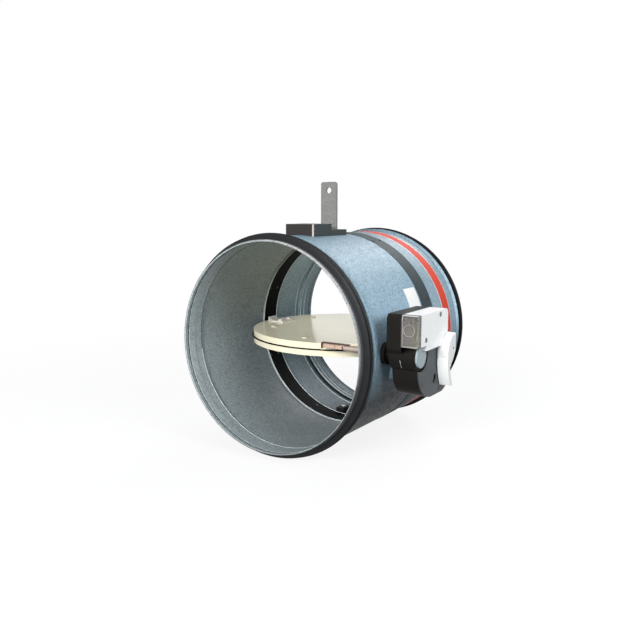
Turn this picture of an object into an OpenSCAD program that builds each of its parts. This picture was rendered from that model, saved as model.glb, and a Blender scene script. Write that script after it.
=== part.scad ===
// Round fire damper with a pivoting blade and a lever-and-fuse mechanism on its side.
// The duct axis runs along Y, the front mouth is at -Y, the mechanism is on the +X side.
// The origin is where the duct axis crosses the blade axle. The blade is drawn open.

/* [Tunnel] */
// Outside diameter of the round steel tunnel
tunnel_d = 313.5; // [290:0.5:360]
// Thickness of the galvanised sheet
sheet_t = 1.5; // [1:0.1:2]
// Length from the blade axle to the front rim
front_len = 218; // [216:1:280]
// Length from the blade axle to the rear rim
rear_len = 127; // [95:1:200]
// How much narrower each spigot is than the tunnel, on the radius
spigot_inset = 3.3; // [2.5:0.1:4]
// Radius of the rolled rim at each mouth
rim_roll_r = 1.4; // [1.2:0.1:1.8]
// Height of the bead beside each gasket
bead_h = 3.6; // [2:0.1:4.5]
// Width of the bead beside each gasket
bead_w = 5; // [4:0.5:6]
// How far the sheet of the mouth reaches into the tunnel, from the rim
lap_len = 37.5; // [34:0.5:42]

/* [Gaskets] */
// How far the tall lip of a gasket stands above the tunnel
lip_h = 5.5; // [3:0.25:8]
// How far the low lip stays below the tall lip
lip_step = 1.3; // [0:0.1:2.5]
// Thickness of the rubber over the spigot
gasket_base_t = 1.2; // [0.8:0.1:2]

/* [Fire joint] */
// Width of the insulating ring between the two sleeves
ring_w = 37.2; // [34:0.2:44]
// Thickness of the insulating ring
ring_t = 2.2; // [1.8:0.1:4]
// Width of the swelling strip set into the ring
strip_w = 33.2; // [28:0.2:33.2]
// Depth of the groove that holds the swelling strip
strip_t = 1.2; // [0.6:0.1:1.4]
// Width of the dark band round the outside of the joint
joint_band_w = 34; // [32:0.1:36]
// Width of the red wall-limit tape
tape_w = 24; // [10:0.2:30]
// Width of the white edge on each side of the red tape
tape_edge_w = 1.2; // [0.4:0.2:2]

/* [Blade] */
// Thickness of each of the two boards of the blade
board_t = 9.9; // [8:0.1:12]
// How far the middle of the blade lies below its axle
blade_drop = 8; // [7:0.1:9]
// Thickness of the seal clamped between the boards
seal_t = 1.4; // [0.8:0.1:2]
// How far the seal stands out past the boards
seal_lip = 2.4; // [1:0.1:4]
// Running gap between the turning seal and the ring
blade_gap = 0.35; // [0.3:0.05:1]
// Radius of the two axle pins
axle_r = 5; // [4:0.25:5.5]

/* [Linkage] */
// Distance from the blade axle to the lever shaft, which is the length of the link rod
link_len = 80.5; // [78:0.5:82]
// Radius of the crank, equal to the height of the blade's drive pin
crank_r = 32; // [28:0.5:33]
// Radius of the lever shaft
shaft_r = 6; // [5:0.25:6.5]
// Thickness of the crank, the link rod and the drive lug
link_t = 3; // [2:0.1:3.2]
// Radius of the link pins
link_pin_r = 3; // [2:0.1:3.5]

/* [Mechanism] */
// Gap between the tunnel and the back of the mechanism housing
stand_off = 15.25; // [12:0.25:20]
// Depth of the lower housing
lower_depth = 37; // [35:0.5:44]
// Depth of the upper tray
upper_depth = 21; // [16:0.5:26]
// Depth of the terminal cover
cover_depth = 24; // [22.5:0.5:30]
// Wall of the housing
case_wall = 2.5; // [1.8:0.1:3]
// Height of the top of the terminal cover above the lever shaft
upper_top = 60; // [54:0.5:70]
// Distance from the lever shaft down to the bottom of the housing
case_bottom = 59; // [56:0.5:66]
// Distance from the lever shaft to the axis of the thermal trip
trip_span = 74.5; // [73:0.5:76]
// Radius of the trip button
button_r = 14.5; // [11:0.25:15.5]
// Travel of the trip button
button_travel = 3; // [1.5:0.25:3.5]

/* [Lever] */
// Radius of the lever hub
hub_r = 25.5; // [24:0.25:26.5]
// Height of the grip in front of the hub disc
grip_h = 11; // [8:0.5:16]
// Reach of the lever below its shaft
lever_reach = 47; // [42:0.5:58]

/* [Hanger] */
// Width of the black hanger base
hanger_w = 50; // [40:1:60]
// Height of the black hanger base above the tunnel
hanger_h = 16; // [12:0.5:22]
// Height of the lug above the hanger flange
lug_h = 72.5; // [50:0.5:110]
// Width of the lug
lug_w = 28.5; // [24:0.5:36]
// Thickness of the lug
lug_t = 3; // [2:0.25:4]
// Radius of the hole in the lug
lug_hole_r = 4.5; // [3:0.25:5.5]

/* [Hidden] */

// Number of facets that stand for a true circle, large and small
round_fn = 96;
small_fn = 32;
// Overrun of every cutting shape
cut = 2;
// Small gap between pieces that lie on each other
film = 0.05;
// Running clearance on the radius of a shaft in its bush
run_gap = 0.05;
// Clearance between pieces that move past each other
move_gap = 0.4;

// Tunnel: outer radius, inner radius and the two spigots
tube_r = tunnel_d / 2;
bore_r = tube_r - sheet_t;
spigot_r = tube_r - spigot_inset;
// Where the gasket groove starts and ends, measured from the rim
groove_start = 8.5;
groove_end = 23;
// Length over which the sheet steps into the groove, and how deep the groove is
groove_step = 1;
groove_depth = 0.8;
groove_r = spigot_r - groove_depth;
// Where the rolled bead lies, measured from the rim
bead_d = 29.5;
// Number of straight steps round a bead
bead_steps = 8;
// Gap between the two sleeves, and its place in front of the axle
joint_gap = 2;
joint_y = -8;
front_end_y = joint_y - joint_gap / 2;
rear_end_y = joint_y + joint_gap / 2;

// Gasket lips: width at the root, thickness at the tip and lean away from the rim
lip_root_w = 2.4;
lip_tip_t = 0.9;
lip_lean = 3;
lip_pitch = 5.4;
gasket_r = tube_r + lip_h;

// Fire joint
ring_out_r = bore_r - film;
ring_in_r = ring_out_r - ring_t;
strip_out_r = ring_in_r + strip_t;
joint_band_t = 0.5;
joint_band_y = -22;
joint_band_top = tube_r + film + joint_band_t;
tape_t = 0.25;
// Distance from the rear rim to the middle of the red tape
tape_d = 67.2;
tape_y = rear_len - tape_d;
tape_edge_t = 0.12;
rivet_r = 1.6;
rivet_head_r = 2.6;
rivet_head_h = 0.9;
rivet_count = 8;
front_rivet_y = -14;
rear_rivet_y = 6;
// Angle of the first rivet from the mechanism side, so that rivets miss the axle
rivet_start = 22.5;

// Blank label on the mechanism side
label_w = 36;
label_y = -44;
label_t = 0.15;
label_from = 10;
label_to = 30;

// Blade: the seal turns inside the ring, so its radius follows from the drop below the axle
seal_r = sqrt(pow(ring_in_r - blade_gap, 2) - pow(blade_drop + seal_t / 2, 2));
board_r = seal_r - seal_lip;
board_top = board_t - blade_drop;
board_bottom = -board_t - blade_drop;

// Axle pins and their bushes, pressed through the tunnel wall
bush_wall = 2;
bush_rim = 5;
bush_r = axle_r + bush_wall;
bush_flange_r = axle_r + bush_rim;
bush_flange_t = 1.5;
bush_tail = 4;
axle_reach_in = 3.5;
axle_reach_out = 3;
axle_in_x = seal_r - axle_reach_in;
axle_out_x = tube_r + axle_reach_out;
bush_in_x = seal_r + move_gap;
// Axle lugs: end plates of the two blade brackets
bracket_t = 2;
axle_lug_t = 2.5;
axle_lug_half = 11;
axle_lug_top = 8;
axle_lug_bottom = -6.2;
axle_lug_x = axle_in_x - axle_lug_t;
// Foot of each blade bracket on the upper board
foot_len = 26;
foot_half = 20;
notch_gap = 0.6;
notch_x = axle_lug_x - notch_gap;
bracket_screw_r = 2;
bracket_screw_head_r = 4;
bracket_screw_head_h = 2.2;
bracket_screw_len = 12;
bracket_screw_y = 12;
// Bolts that clamp the two boards and the seal
bolt_r = 2.5;
bolt_head_r = 5;
bolt_head_h = 1.6;
bolt_inset = 32;
bolt_count = 6;

// Blade stop on the tunnel floor, behind the closed blade
stop_x = -20;
stop_w = 14;
stop_len = 26;
stop_h = 9;
stop_screw_r = 2.2;
stop_screw_head_r = 3.8;
stop_screw_head_h = 1.6;
// Half width of the cross in a screw head, as a share of the head's radius
screw_cross_share = 0.6;
stop_y = board_t + blade_drop + move_gap;
stop_floor = sqrt(pow(bore_r, 2) - pow(abs(stop_x) + stop_w / 2, 2));

// Linkage planes, counted from the axle bracket inwards
crank_inset = 10;
crank_x0 = bore_r - crank_inset;
crank_x1 = crank_x0 + link_t;
rod_x1 = crank_x0 - move_gap;
rod_x0 = rod_x1 - link_t;
lug_x1 = rod_x0 - move_gap;
lug_x0 = lug_x1 - link_t;
foot_x = lug_x0 - foot_len;
bracket_screw_x = foot_x + foot_half / 2;
eye_wall = 3.5;
eye_r = link_pin_r + eye_wall;
eye_neck_share = 0.7;
eye_pin_rim = 1.2;
eye_pin_head_r = link_pin_r + eye_pin_rim;
pin_head_h = 1.2;
drive_lug_half = 8;
crank_hub_wall = 4;
crank_hub_r = shaft_r + crank_hub_wall;

// Lever shaft and mechanism planes, counted outwards from the tunnel
shaft_y = -link_len;
case_x0 = tube_r + stand_off;
case_back_t = 3;
lower_x1 = case_x0 + lower_depth;
face_t = 2;
face_x1 = lower_x1 + face_t;
upper_x1 = case_x0 + upper_depth;
cover_x1 = upper_x1 + cover_depth;
lever_gap = 1;
lever_x0 = face_x1 + lever_gap;
hub_t = 5;
lever_x1 = lever_x0 + hub_t;
grip_x1 = lever_x1 + grip_h;
lever_pin_r = 1.2;

// Housing outline, measured from the lever shaft
case_left = 82.5;
case_right = 20.5;
case_top = 10;
left_corner_r = 42;
right_corner_r = 30;
top_lobe_r = 20.5;
upper_left = 100.5;
upper_right = 3.5;
upper_corner_r = 8;
nose_r = 19.5;
trip_y = shaft_y - trip_span;
trip_z = 1.5;
case_left_y = shaft_y - case_left;
case_right_y = shaft_y + case_right;
upper_left_y = shaft_y - upper_left;
upper_right_y = shaft_y - upper_right;

// Terminal cover and its clear end
window_w = 10;
cover_wall = 2;
cover_step_left = 72.2;
cover_step_y = shaft_y - cover_step_left;
cover_step_z = 17.5;
lever_cut_gap = 2;
lever_cut_r = hub_r + lever_cut_gap;
knockout_r = 8.3;
knockout_ring_w = 1.1;
knockout_ring_h = 0.8;
cover_seam = 0.2;
cover_screw_r = 2;
cover_screw_head_r = 3.6;
cover_screw_head_h = 1.4;
cover_screw_pillar_r = 3.6;
// Place of the upper cover screw, from the upper right corner
cover_screw_inset = 6;
cover_screw_left = 26;

// Keyhole of the faceplate
keyhole_r = 3.8;
keyhole_slot_w = 4.2;
keyhole_slot_len = 9;
keyhole_left = 30.5;
keyhole_y = shaft_y - keyhole_left;
keyhole_z = -33;
face_gap = 0.25;
face_screw_r = 1.5;
face_screw_head_r = 3;
face_screw_head_h = 1;
face_screw_inset = 6.5;
face_screw_len = 8;
post_r = 3.2;

// Mounting saddle between the tunnel and the housing
saddle_left = 55;
saddle_right = 16;
saddle_half = 38;
saddle_wall = 3;
saddle_screw_r = 2;
saddle_screw_head_r = 3.6;
saddle_screw_head_h = 1.6;
saddle_screw_inset = 8;
saddle_left_y = shaft_y - saddle_left;
saddle_right_y = shaft_y + saddle_right;

// Bushes of the lever shaft
shaft_bush_wall = 2;
shaft_bush_rim = 4.5;
shaft_bush_r = shaft_r + shaft_bush_wall;
shaft_flange_r = shaft_r + shaft_bush_rim;
shaft_flange_t = 1.5;
shaft_collar_len = 5.5;
tunnel_bush_len = 5;
shaft_collar_x = bore_r - shaft_collar_len;
tunnel_bush_x1 = tube_r + tunnel_bush_len;

// Closing spring, seated between the back of the housing and the cam
spring_wire_r = 1;
spring_gap = 5;
spring_coil_r = shaft_r + spring_gap;
spring_turns = 5;
spring_pitch = 2.7;
spring_seat = 0.3;
spring_sides = 6;
spring_rings = 8;
spring_leg = 9;
spring_x0 = case_x0 + case_back_t + spring_wire_r + spring_seat;
spring_x1 = spring_x0 + spring_turns * spring_pitch;
// Control cam: a latch lobe towards the duct and a switch lobe towards the faceplate
cam_r = 13;
latch_lobe_r = 17.5;
latch_lobe_w = 5;
latch_lobe_t = 4.5;
cam_lobe_r = 15.5;
cam_lobe_w = 9;
cam_lobe_t = 6;
cam_step = 2.5;
cam_x0 = spring_x1 + spring_wire_r + spring_seat;
latch_lobe_x1 = cam_x0 + latch_lobe_t;
switch_lobe_x0 = latch_lobe_x1 + cam_step;
cam_x1 = switch_lobe_x0 + cam_lobe_t;

// Contact switches on a plate behind the faceplate
switch_plate_t = 1.2;
switch_plate_x0 = lower_x1 - switch_plate_t;
switch_t = 6.5;
switch_x1 = switch_plate_x0;
switch_x0 = switch_x1 - switch_t;
switch_w = 20;
switch_h = 10;
switch_lever_t = 0.5;
switch_lever_w = 5;
switch_lever_len = 17;
switch_hinge = 2.5;
// Gap between the lobe's sweep and each switch lever
switch_gap = 0.6;
open_switch_y = shaft_y - cam_lobe_r - switch_gap - switch_lever_t;
closed_switch_z = -cam_lobe_r - switch_gap - switch_lever_t;
// Top of the open switch, below the latch lever
open_switch_top = -2.5;

// Trip button, latch and fuse
button_t = 3;
button_gap = 0.3;
button_stem_r = 5;
button_bore_r = 3.3;
nose_drop = 2;
nose_x1 = lower_x1 - nose_drop;
button_x1 = face_x1;
button_x0 = button_x1 - button_t;
nose_bore_r = button_r + button_gap;
button_ring_t = 1.2;
latch_t = 2.5;
latch_h = 5;
latch_x0 = cam_x0 + (latch_lobe_t - latch_t) / 2;
latch_x1 = latch_x0 + latch_t;
stem_x0 = latch_x1 + button_gap;
latch_arm = 27;
latch_pivot_y = trip_y + latch_arm;
latch_pin_r = 1.5;
latch_boss_r = 3.6;
latch_tip_y = shaft_y - latch_lobe_r - move_gap;
latch_slot_half = 1.9;
collar_r = 15;
collar_len = 5.5;
collar_x1 = tube_r + collar_len;
neck_r = 9.5;
probe_len = 63;
cage_len = 37;
tube_out_r = 4;
tube_in_r = 3;
tube_neck_r = 1.6;
tube_tip_x = bore_r - probe_len;
tube_tail_x = case_x0 + 2 * case_back_t;
trip_rod_r = 1.3;
trip_head_r = 2.6;
trip_head_t = 1.5;
trip_rod_tip = 4;
trip_rod_x0 = tube_tip_x - trip_rod_tip;
cage_t = 1.2;
cage_w = 7;
cage_tip_x = tube_tip_x - cage_len;
cage_lap = 8;
// Trip spring between a collar on the trip pin and the neck of the fuse tube
trip_wire_r = 0.35;
trip_coil_r = 2.25;
trip_turns = 10;
trip_pitch = 2.4;
trip_collar_t = 1.5;
trip_spring_x0 = tube_tip_x + 4 * trip_rod_tip;
tube_neck_x = trip_spring_x0 + trip_turns * trip_pitch + trip_wire_r + spring_seat;
link_plate_t = 0.9;
link_plate_h = 6;
link_plate_len = 20;
link_tip_gap = 0.3;

// Hanger
hanger_y0 = -132;
hanger_len = 50;
flange_len = 44;
flange_h = 6.8;
hanger_bevel = 1.6;
lug_foot_len = 27;
lug_y = hanger_y0 + hanger_len + lug_foot_len + 2 * lug_t;
lug_clip = 2.6;
lug_hole_drop = 13;
lug_screw_r = 2.5;
lug_screw_head_r = 4.4;
lug_screw_head_h = 2.6;
lug_screw_x = 8;
lug_screw_share = 0.6;
lug_screw_y = lug_y - lug_foot_len * lug_screw_share;
flange_top = tube_r + flange_h;

// Turns +Z onto +Y
module along_y() {
    rotate([-90, 0, 0]) children();
}

// Turns +Z onto +X
module along_x() {
    rotate([0, 90, 0]) children();
}

// Turns a drawing of (y, z) into a plate from x0 to x1
module slab(x0, x1) {
    translate([x0, 0, 0]) rotate([90, 0, 90]) linear_extrude(height = x1 - x0) children();
}

// Round bar along X at a given y and z
module bar_x(r, x0, x1, y = 0, z = 0) {
    translate([x0, y, z]) along_x() cylinder(r = r, h = x1 - x0, $fn = small_fn * 2);
}

// Round bar along Z
module bar_z(r, z0, z1, x = 0, y = 0) {
    translate([x, y, z0]) cylinder(r = r, h = z1 - z0, $fn = small_fn);
}

// Ring round the duct axis, from y0 to y1
module ring_y(r_in, r_out, y0, y1) {
    translate([0, y0, 0]) along_y() difference() {
        cylinder(r = r_out, h = y1 - y0, $fn = round_fn);
        translate([0, 0, -cut]) cylinder(r = r_in, h = y1 - y0 + 2 * cut, $fn = round_fn);
    }
}

// Solid disc round the duct axis, from y0 to y1
module disc_y(r, y0, y1) {
    translate([0, y0, 0]) along_y() cylinder(r = r, h = y1 - y0, $fn = round_fn);
}

// Box given by its two corners
module block(low, high) {
    translate(low) cube(high - low);
}

// Rectangle with true round corners, given by its two corners
module rounded(low, high, r) {
    size = high - low;
    translate([low[0] + r, low[1]]) square([size[0] - 2 * r, size[1]]);
    translate([low[0], low[1] + r]) square([size[0], size[1] - 2 * r]);
    for (x = [low[0] + r, high[0] - r], y = [low[1] + r, high[1] - r])
        translate([x, y]) circle(r = r, $fn = small_fn);
}

// Rectangle given by its two corners
module rect(low, high) {
    translate(low) square(high - low);
}

// Half wave of a rolled bead as points of radius and distance from the rim
function bead_points(d, w, h) = [for (i = [0:bead_steps])
    [tube_r + h * sin(180 * i / bead_steps), d - w / 2 + w * i / bead_steps]];

// Face of the gasket groove, drawn in by the thickness of the sheet or by nothing
function groove_points(inset) = [[spigot_r - inset, rim_roll_r], [spigot_r - inset, groove_start],
    [groove_r - inset, groove_start + groove_step], [groove_r - inset, groove_end - groove_step],
    [spigot_r - inset, groove_end]];

function reversed(list) = [for (i = [len(list) - 1:-1:0]) list[i]];

// Sleeve of formed sheet, standing on its rim along Z: the mouth with its groove and rolled rim laps inside
// the tunnel, whose own end is rolled up into a bead
module sleeve(length) {
    outer = concat(groove_points(0), bead_points(bead_d, bead_w, bead_h), [[tube_r, length]]);
    inner = concat([[bore_r, length], [bore_r, lap_len], [spigot_r - sheet_t, lap_len]],
        reversed(groove_points(sheet_t)));
    rotate_extrude($fn = round_fn) {
        polygon(concat(outer, inner));
        translate([spigot_r - rim_roll_r, rim_roll_r]) circle(r = rim_roll_r, $fn = small_fn);
    }
}

// Holes for the axle bushes, on both sides
module axle_holes() {
    bar_x(bush_r + film, -axle_out_x - bush_tail, axle_out_x + bush_tail);
}

// One row of rivet holes round the joint
module rivet_row(y, r, r0, r1) {
    for (i = [0:rivet_count - 1])
        rotate([0, rivet_start + i * 360 / rivet_count, 0]) bar_x(r, r0, r1, y);
}

module front_sleeve() color([0.63, 0.75, 0.82]) {
    difference() {
        translate([0, -front_len, 0]) along_y() sleeve(front_len + front_end_y);
        rivet_row(front_rivet_y, rivet_r, bore_r - cut, tube_r + cut);
        bar_x(shaft_bush_r + film, bore_r - 2 * cut, tube_r + cut, shaft_y);
        bar_x(tube_out_r + film, bore_r - 2 * cut, tube_r + cut, trip_y, trip_z);
        saddle_places() bar_x(saddle_screw_r, bore_r - 10 * cut, case_x0);
        for (x = [-lug_screw_x, lug_screw_x]) bar_z(lug_screw_r, bore_r - cut, tube_r + cut, x, lug_screw_y);
    }
}

module rear_sleeve() color([0.6, 0.72, 0.8]) {
    difference() {
        translate([0, rear_len, 0]) mirror([0, 1, 0]) along_y() sleeve(rear_len - rear_end_y);
        axle_holes();
        rivet_row(rear_rivet_y, rivet_r, bore_r - cut, tube_r + cut);
        bar_z(stop_screw_r, -tube_r - cut, -bore_r + 2 * cut, stop_x, stop_y + stop_len / 2);
    }
}

module insulating_ring() color([0.72, 0.74, 0.74]) {
    difference() {
        ring_y(ring_in_r, ring_out_r, -ring_w / 2, ring_w / 2);
        ring_y(ring_in_r - cut, strip_out_r, -strip_w / 2, strip_w / 2);
        axle_holes();
        rivet_row(front_rivet_y, rivet_r, ring_in_r - cut, tube_r);
        rivet_row(rear_rivet_y, rivet_r, ring_in_r - cut, tube_r);
    }
}

module swelling_strip() color([0.09, 0.1, 0.1]) {
    difference() {
        ring_y(ring_in_r, strip_out_r - film, -strip_w / 2 + film, strip_w / 2 - film);
        axle_holes();
        rivet_row(front_rivet_y, rivet_head_r, ring_in_r - cut, strip_out_r);
        rivet_row(rear_rivet_y, rivet_head_r, ring_in_r - cut, strip_out_r);
    }
}

module joint_band() color([0.33, 0.38, 0.39]) {
    difference() {
        ring_y(tube_r + film, joint_band_top, joint_band_y, joint_band_y + joint_band_w);
        bar_x(bush_flange_r + 2 * film, -axle_out_x - bush_tail, axle_out_x + bush_tail);
        rivet_row(front_rivet_y, rivet_r, tube_r - cut, joint_band_top + cut);
        rivet_row(rear_rivet_y, rivet_r, tube_r - cut, joint_band_top + cut);
    }
}

module wall_limit_tape() color([0.84, 0.29, 0.2]) {
    ring_y(tube_r + film, tube_r + film + tape_t, tape_y - tape_w / 2, tape_y + tape_w / 2);
}

module tape_edges() color([0.95, 0.9, 0.88]) {
    for (side = [-1, 1]) {
        y = tape_y + side * (tape_w + tape_edge_w) / 2;
        ring_y(tube_r + film, tube_r + film + tape_edge_t, y - tape_edge_w / 2, y + tape_edge_w / 2);
    }
}

// One leaning lip of a gasket, as points of radius and distance from the rim
function lip_points(d, root_r, tip_r) = [[root_r, d], [tip_r, d + lip_root_w + lip_lean - lip_tip_t],
    [tip_r, d + lip_root_w + lip_lean], [root_r, d + lip_root_w]];

// Gasket with two lips, standing on the rim along Z
module gasket() {
    seat_r = groove_r + film;
    base_r = spigot_r + gasket_base_t;
    low = groove_start + groove_step;
    high = groove_end - groove_step;
    rotate_extrude($fn = round_fn) polygon(concat([[seat_r, low], [base_r, low]],
        lip_points(low + groove_step, base_r, gasket_r - lip_step),
        lip_points(low + groove_step + lip_pitch, base_r, gasket_r),
        [[base_r, high], [seat_r, high]]));
}

module front_gasket() color([0.13, 0.14, 0.15]) {
    translate([0, -front_len, 0]) along_y() gasket();
}

module rear_gasket() color([0.13, 0.14, 0.15]) {
    translate([0, rear_len, 0]) mirror([0, 1, 0]) along_y() gasket();
}

// Blind rivets with the head on the joint band, from the strip groove to the head
module rivets(y) {
    for (i = [0:rivet_count - 1]) rotate([0, rivet_start + i * 360 / rivet_count, 0]) {
        bar_x(rivet_r, strip_out_r - 2 * film, joint_band_top + rivet_head_h / 2, y);
        bar_x(rivet_head_r, joint_band_top, joint_band_top + rivet_head_h, y);
        bar_x(rivet_head_r - film, ring_in_r + film, strip_out_r - film, y);
    }
}

module joint_rivets() color([0.3, 0.34, 0.35]) {
    rivets(front_rivet_y);
}

module sleeve_rivets() color([0.3, 0.34, 0.35]) {
    rivets(rear_rivet_y);
}

module blank_label() color([0.96, 0.96, 0.95]) {
    translate([0, label_y - label_w / 2, 0]) along_y() rotate([0, 0, -label_to])
        rotate_extrude(angle = label_to - label_from, $fn = round_fn)
            rect([tube_r + film, 0], [tube_r + film + label_t, label_w]);
}

// Flanged bush through the tunnel wall on the +X side
module axle_bush() {
    difference() {
        union() {
            bar_x(bush_r, bush_in_x, axle_out_x + bush_tail);
            bar_x(bush_flange_r, tube_r + 2 * film, tube_r + 2 * film + bush_flange_t);
        }
        bar_x(axle_r + run_gap, bush_in_x - cut, axle_out_x + run_gap);
    }
}

module near_axle_bush() color([0.72, 0.6, 0.36]) {
    axle_bush();
}

module far_axle_bush() color([0.72, 0.6, 0.36]) {
    mirror([1, 0, 0]) axle_bush();
}

module blade_stop() color([0.1, 0.1, 0.11]) {
    difference() {
        block([stop_x - stop_w / 2, stop_y, -tube_r],
            [stop_x + stop_w / 2, stop_y + stop_len, stop_h - stop_floor]);
        translate([0, stop_y - cut, 0]) along_y() difference() {
            cylinder(r = tube_r + 2 * stop_h, h = stop_len + 2 * cut, $fn = round_fn);
            translate([0, 0, -cut]) cylinder(r = bore_r - film, h = stop_len + 4 * cut, $fn = round_fn);
        }
        ring_y(ring_in_r - 2 * film, tube_r, -ring_w / 2 - film, ring_w / 2 + film);
        bar_z(stop_screw_r, -tube_r, stop_h, stop_x, stop_y + stop_len / 2);
    }
}

module stop_screw() color([0.9, 0.9, 0.88]) {
    top = -stop_floor + stop_h;
    tip = -sqrt(pow(tube_r, 2) - pow(abs(stop_x) + stop_screw_r, 2));
    bar_z(stop_screw_r - film, tip, top + stop_screw_head_h / 2, stop_x, stop_y + stop_len / 2);
    difference() {
        bar_z(stop_screw_head_r, top, top + stop_screw_head_h, stop_x, stop_y + stop_len / 2);
        screw_slot(stop_screw_head_r, top + stop_screw_head_h / 2, stop_x, stop_y + stop_len / 2);
    }
}

// Cutting slot across a screw head that faces +Z
module screw_slot(head_r, z, x, y) {
    slot = head_r / 4;
    block([x - head_r - cut, y - slot / 2, z], [x + head_r + cut, y + slot / 2, z + head_r]);
}

// Cutting cross of a screw head that faces +X
module screw_cross(head_r, x, y, z) {
    slot = head_r / 4;
    reach = head_r * screw_cross_share;
    block([x, y - slot / 2, z - reach], [x + head_r, y + slot / 2, z + reach]);
    block([x, y - reach, z - slot / 2], [x + head_r, y + reach, z + slot / 2]);
}

// Side view of the hanger base, drawn as (y, z)
module hanger_side() {
    rect([hanger_y0, tube_r - hanger_h], [hanger_y0 + hanger_len, tube_r + hanger_h]);
    rect([hanger_y0, tube_r - hanger_h], [hanger_y0 + hanger_len + flange_len, flange_top]);
}

module hanger_base() color([0.2, 0.22, 0.22]) {
    bevel = hanger_bevel * sqrt(2);
    difference() {
        slab(-hanger_w / 2, hanger_w / 2) hanger_side();
        disc_y(tube_r, hanger_y0 - cut, hanger_y0 + hanger_len + flange_len + cut);
        for (side = [-1, 1]) translate([side * hanger_w / 2, hanger_y0, 0]) rotate([0, 0, 45])
            cube([bevel, bevel, 4 * tube_r], center = true);
        for (x = [-lug_screw_x, lug_screw_x])
            bar_z(lug_screw_r, tube_r - hanger_h, flange_top + cut, x, lug_screw_y);
    }
}

// Front view of the upright lug, drawn as (x, z)
module lug_front() {
    top = flange_top + lug_h;
    difference() {
        rect([-lug_w / 2, flange_top], [lug_w / 2, top]);
        for (side = [-1, 1]) translate([side * lug_w / 2, top]) rotate(45)
            square([lug_clip * sqrt(2), lug_clip * sqrt(2)], center = true);
        translate([0, top - lug_hole_drop]) circle(r = lug_hole_r, $fn = small_fn * 2);
    }
}

module hanger_lug() color([0.58, 0.57, 0.55]) {
    difference() {
        union() {
            translate([0, lug_y + lug_t / 2, 0]) rotate([90, 0, 0])
                linear_extrude(height = lug_t) lug_front();
            block([-lug_w / 2, lug_y - lug_foot_len, flange_top], [lug_w / 2, lug_y, flange_top + lug_t]);
        }
        for (x = [-lug_screw_x, lug_screw_x])
            bar_z(lug_screw_r, flange_top - cut, flange_top + lug_t + cut, x, lug_screw_y);
    }
}

module hanger_screws() color([0.75, 0.76, 0.77]) {
    seat = flange_top + lug_t;
    for (x = [-lug_screw_x, lug_screw_x]) {
        bar_z(lug_screw_r - film, bore_r - sheet_t, seat + lug_screw_head_h / 2, x, lug_screw_y);
        translate([x, lug_screw_y, seat]) cylinder(r = lug_screw_head_r, h = lug_screw_head_h, $fn = 6);
    }
}

// Cut in the blade's front edge that keeps it clear of the fuse in a wide tunnel
module fuse_notch() {
    block([cage_tip_x - notch_gap, -seal_r - cut, board_bottom - cut],
        [seal_r + cut, trip_y + cage_w / 2 + notch_gap, board_top + cut]);
}

// Places of the bolts through the blade
module bolt_places() {
    for (i = [0:bolt_count - 1]) rotate([0, 0, 360 * (i + 0.5) / bolt_count])
        translate([board_r - bolt_inset, 0, 0]) children();
}

// Places of the screws of both blade brackets
module bracket_screw_places() {
    for (side = [-1, 1], y = [-bracket_screw_y, bracket_screw_y])
        translate([side * bracket_screw_x, y, 0]) children();
}

module upper_board() color([0.88, 0.84, 0.74]) {
    difference() {
        translate([0, 0, -blade_drop + seal_t / 2])
            cylinder(r = board_r, h = board_t - seal_t / 2, $fn = round_fn);
        for (side = [-1, 1]) translate([side * (notch_x + board_r) / 2, 0, 0])
            cube([board_r - notch_x, 2 * (axle_lug_half + notch_gap), 4 * board_t], center = true);
        bolt_places() bar_z(bolt_r, -blade_drop - cut, board_top + cut);
        bracket_screw_places() bar_z(bracket_screw_r, board_top - bracket_screw_len, board_top + cut);
        fuse_notch();
    }
}

module lower_board() color([0.86, 0.82, 0.72]) {
    difference() {
        translate([0, 0, board_bottom]) cylinder(r = board_r, h = board_t - seal_t / 2, $fn = round_fn);
        bolt_places() bar_z(bolt_r, board_bottom - cut, -blade_drop + cut);
        bracket_screw_places() bar_z(bracket_screw_r, board_top - bracket_screw_len, board_top + cut);
        fuse_notch();
    }
}

module blade_seal() color([0.08, 0.08, 0.08]) {
    difference() {
        translate([0, 0, -blade_drop - seal_t / 2]) cylinder(r = seal_r, h = seal_t, $fn = round_fn);
        bolt_places() bar_z(bolt_r, -blade_drop - board_t, board_top);
        bracket_screw_places() bar_z(bracket_screw_r, board_top - bracket_screw_len, board_top + cut);
        fuse_notch();
    }
}

module board_bolts() color([0.75, 0.75, 0.73]) {
    bolt_places() {
        bar_z(bolt_r - film, board_bottom - bolt_head_h / 2, board_top + bolt_head_h / 2);
        bar_z(bolt_head_r, board_top, board_top + bolt_head_h);
        bar_z(bolt_head_r, board_bottom - bolt_head_h, board_bottom);
    }
}

// Foot, end plate and axle pin on the +X side
module axle_bracket() {
    block([foot_x, -foot_half, board_top], [lug_x0, foot_half, board_top + bracket_t]);
    block([lug_x0, -axle_lug_half, board_top], [axle_in_x, axle_lug_half, board_top + bracket_t]);
    block([axle_lug_x, -axle_lug_half, axle_lug_bottom], [axle_in_x, axle_lug_half, axle_lug_top]);
    bar_x(axle_r, axle_in_x - film, axle_out_x);
}

module drive_bracket() color([0.66, 0.68, 0.69]) {
    difference() {
        union() {
            axle_bracket();
            slab(lug_x0, lug_x1) {
                rect([-drive_lug_half, board_top], [drive_lug_half, crank_r]);
                translate([0, crank_r]) circle(r = drive_lug_half, $fn = small_fn);
            }
        }
        bar_x(link_pin_r, lug_x0 - cut, lug_x1 + cut, 0, crank_r);
        for (y = [-bracket_screw_y, bracket_screw_y])
            bar_z(bracket_screw_r, 0, board_top + 2 * bracket_t, bracket_screw_x, y);
    }
}

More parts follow.
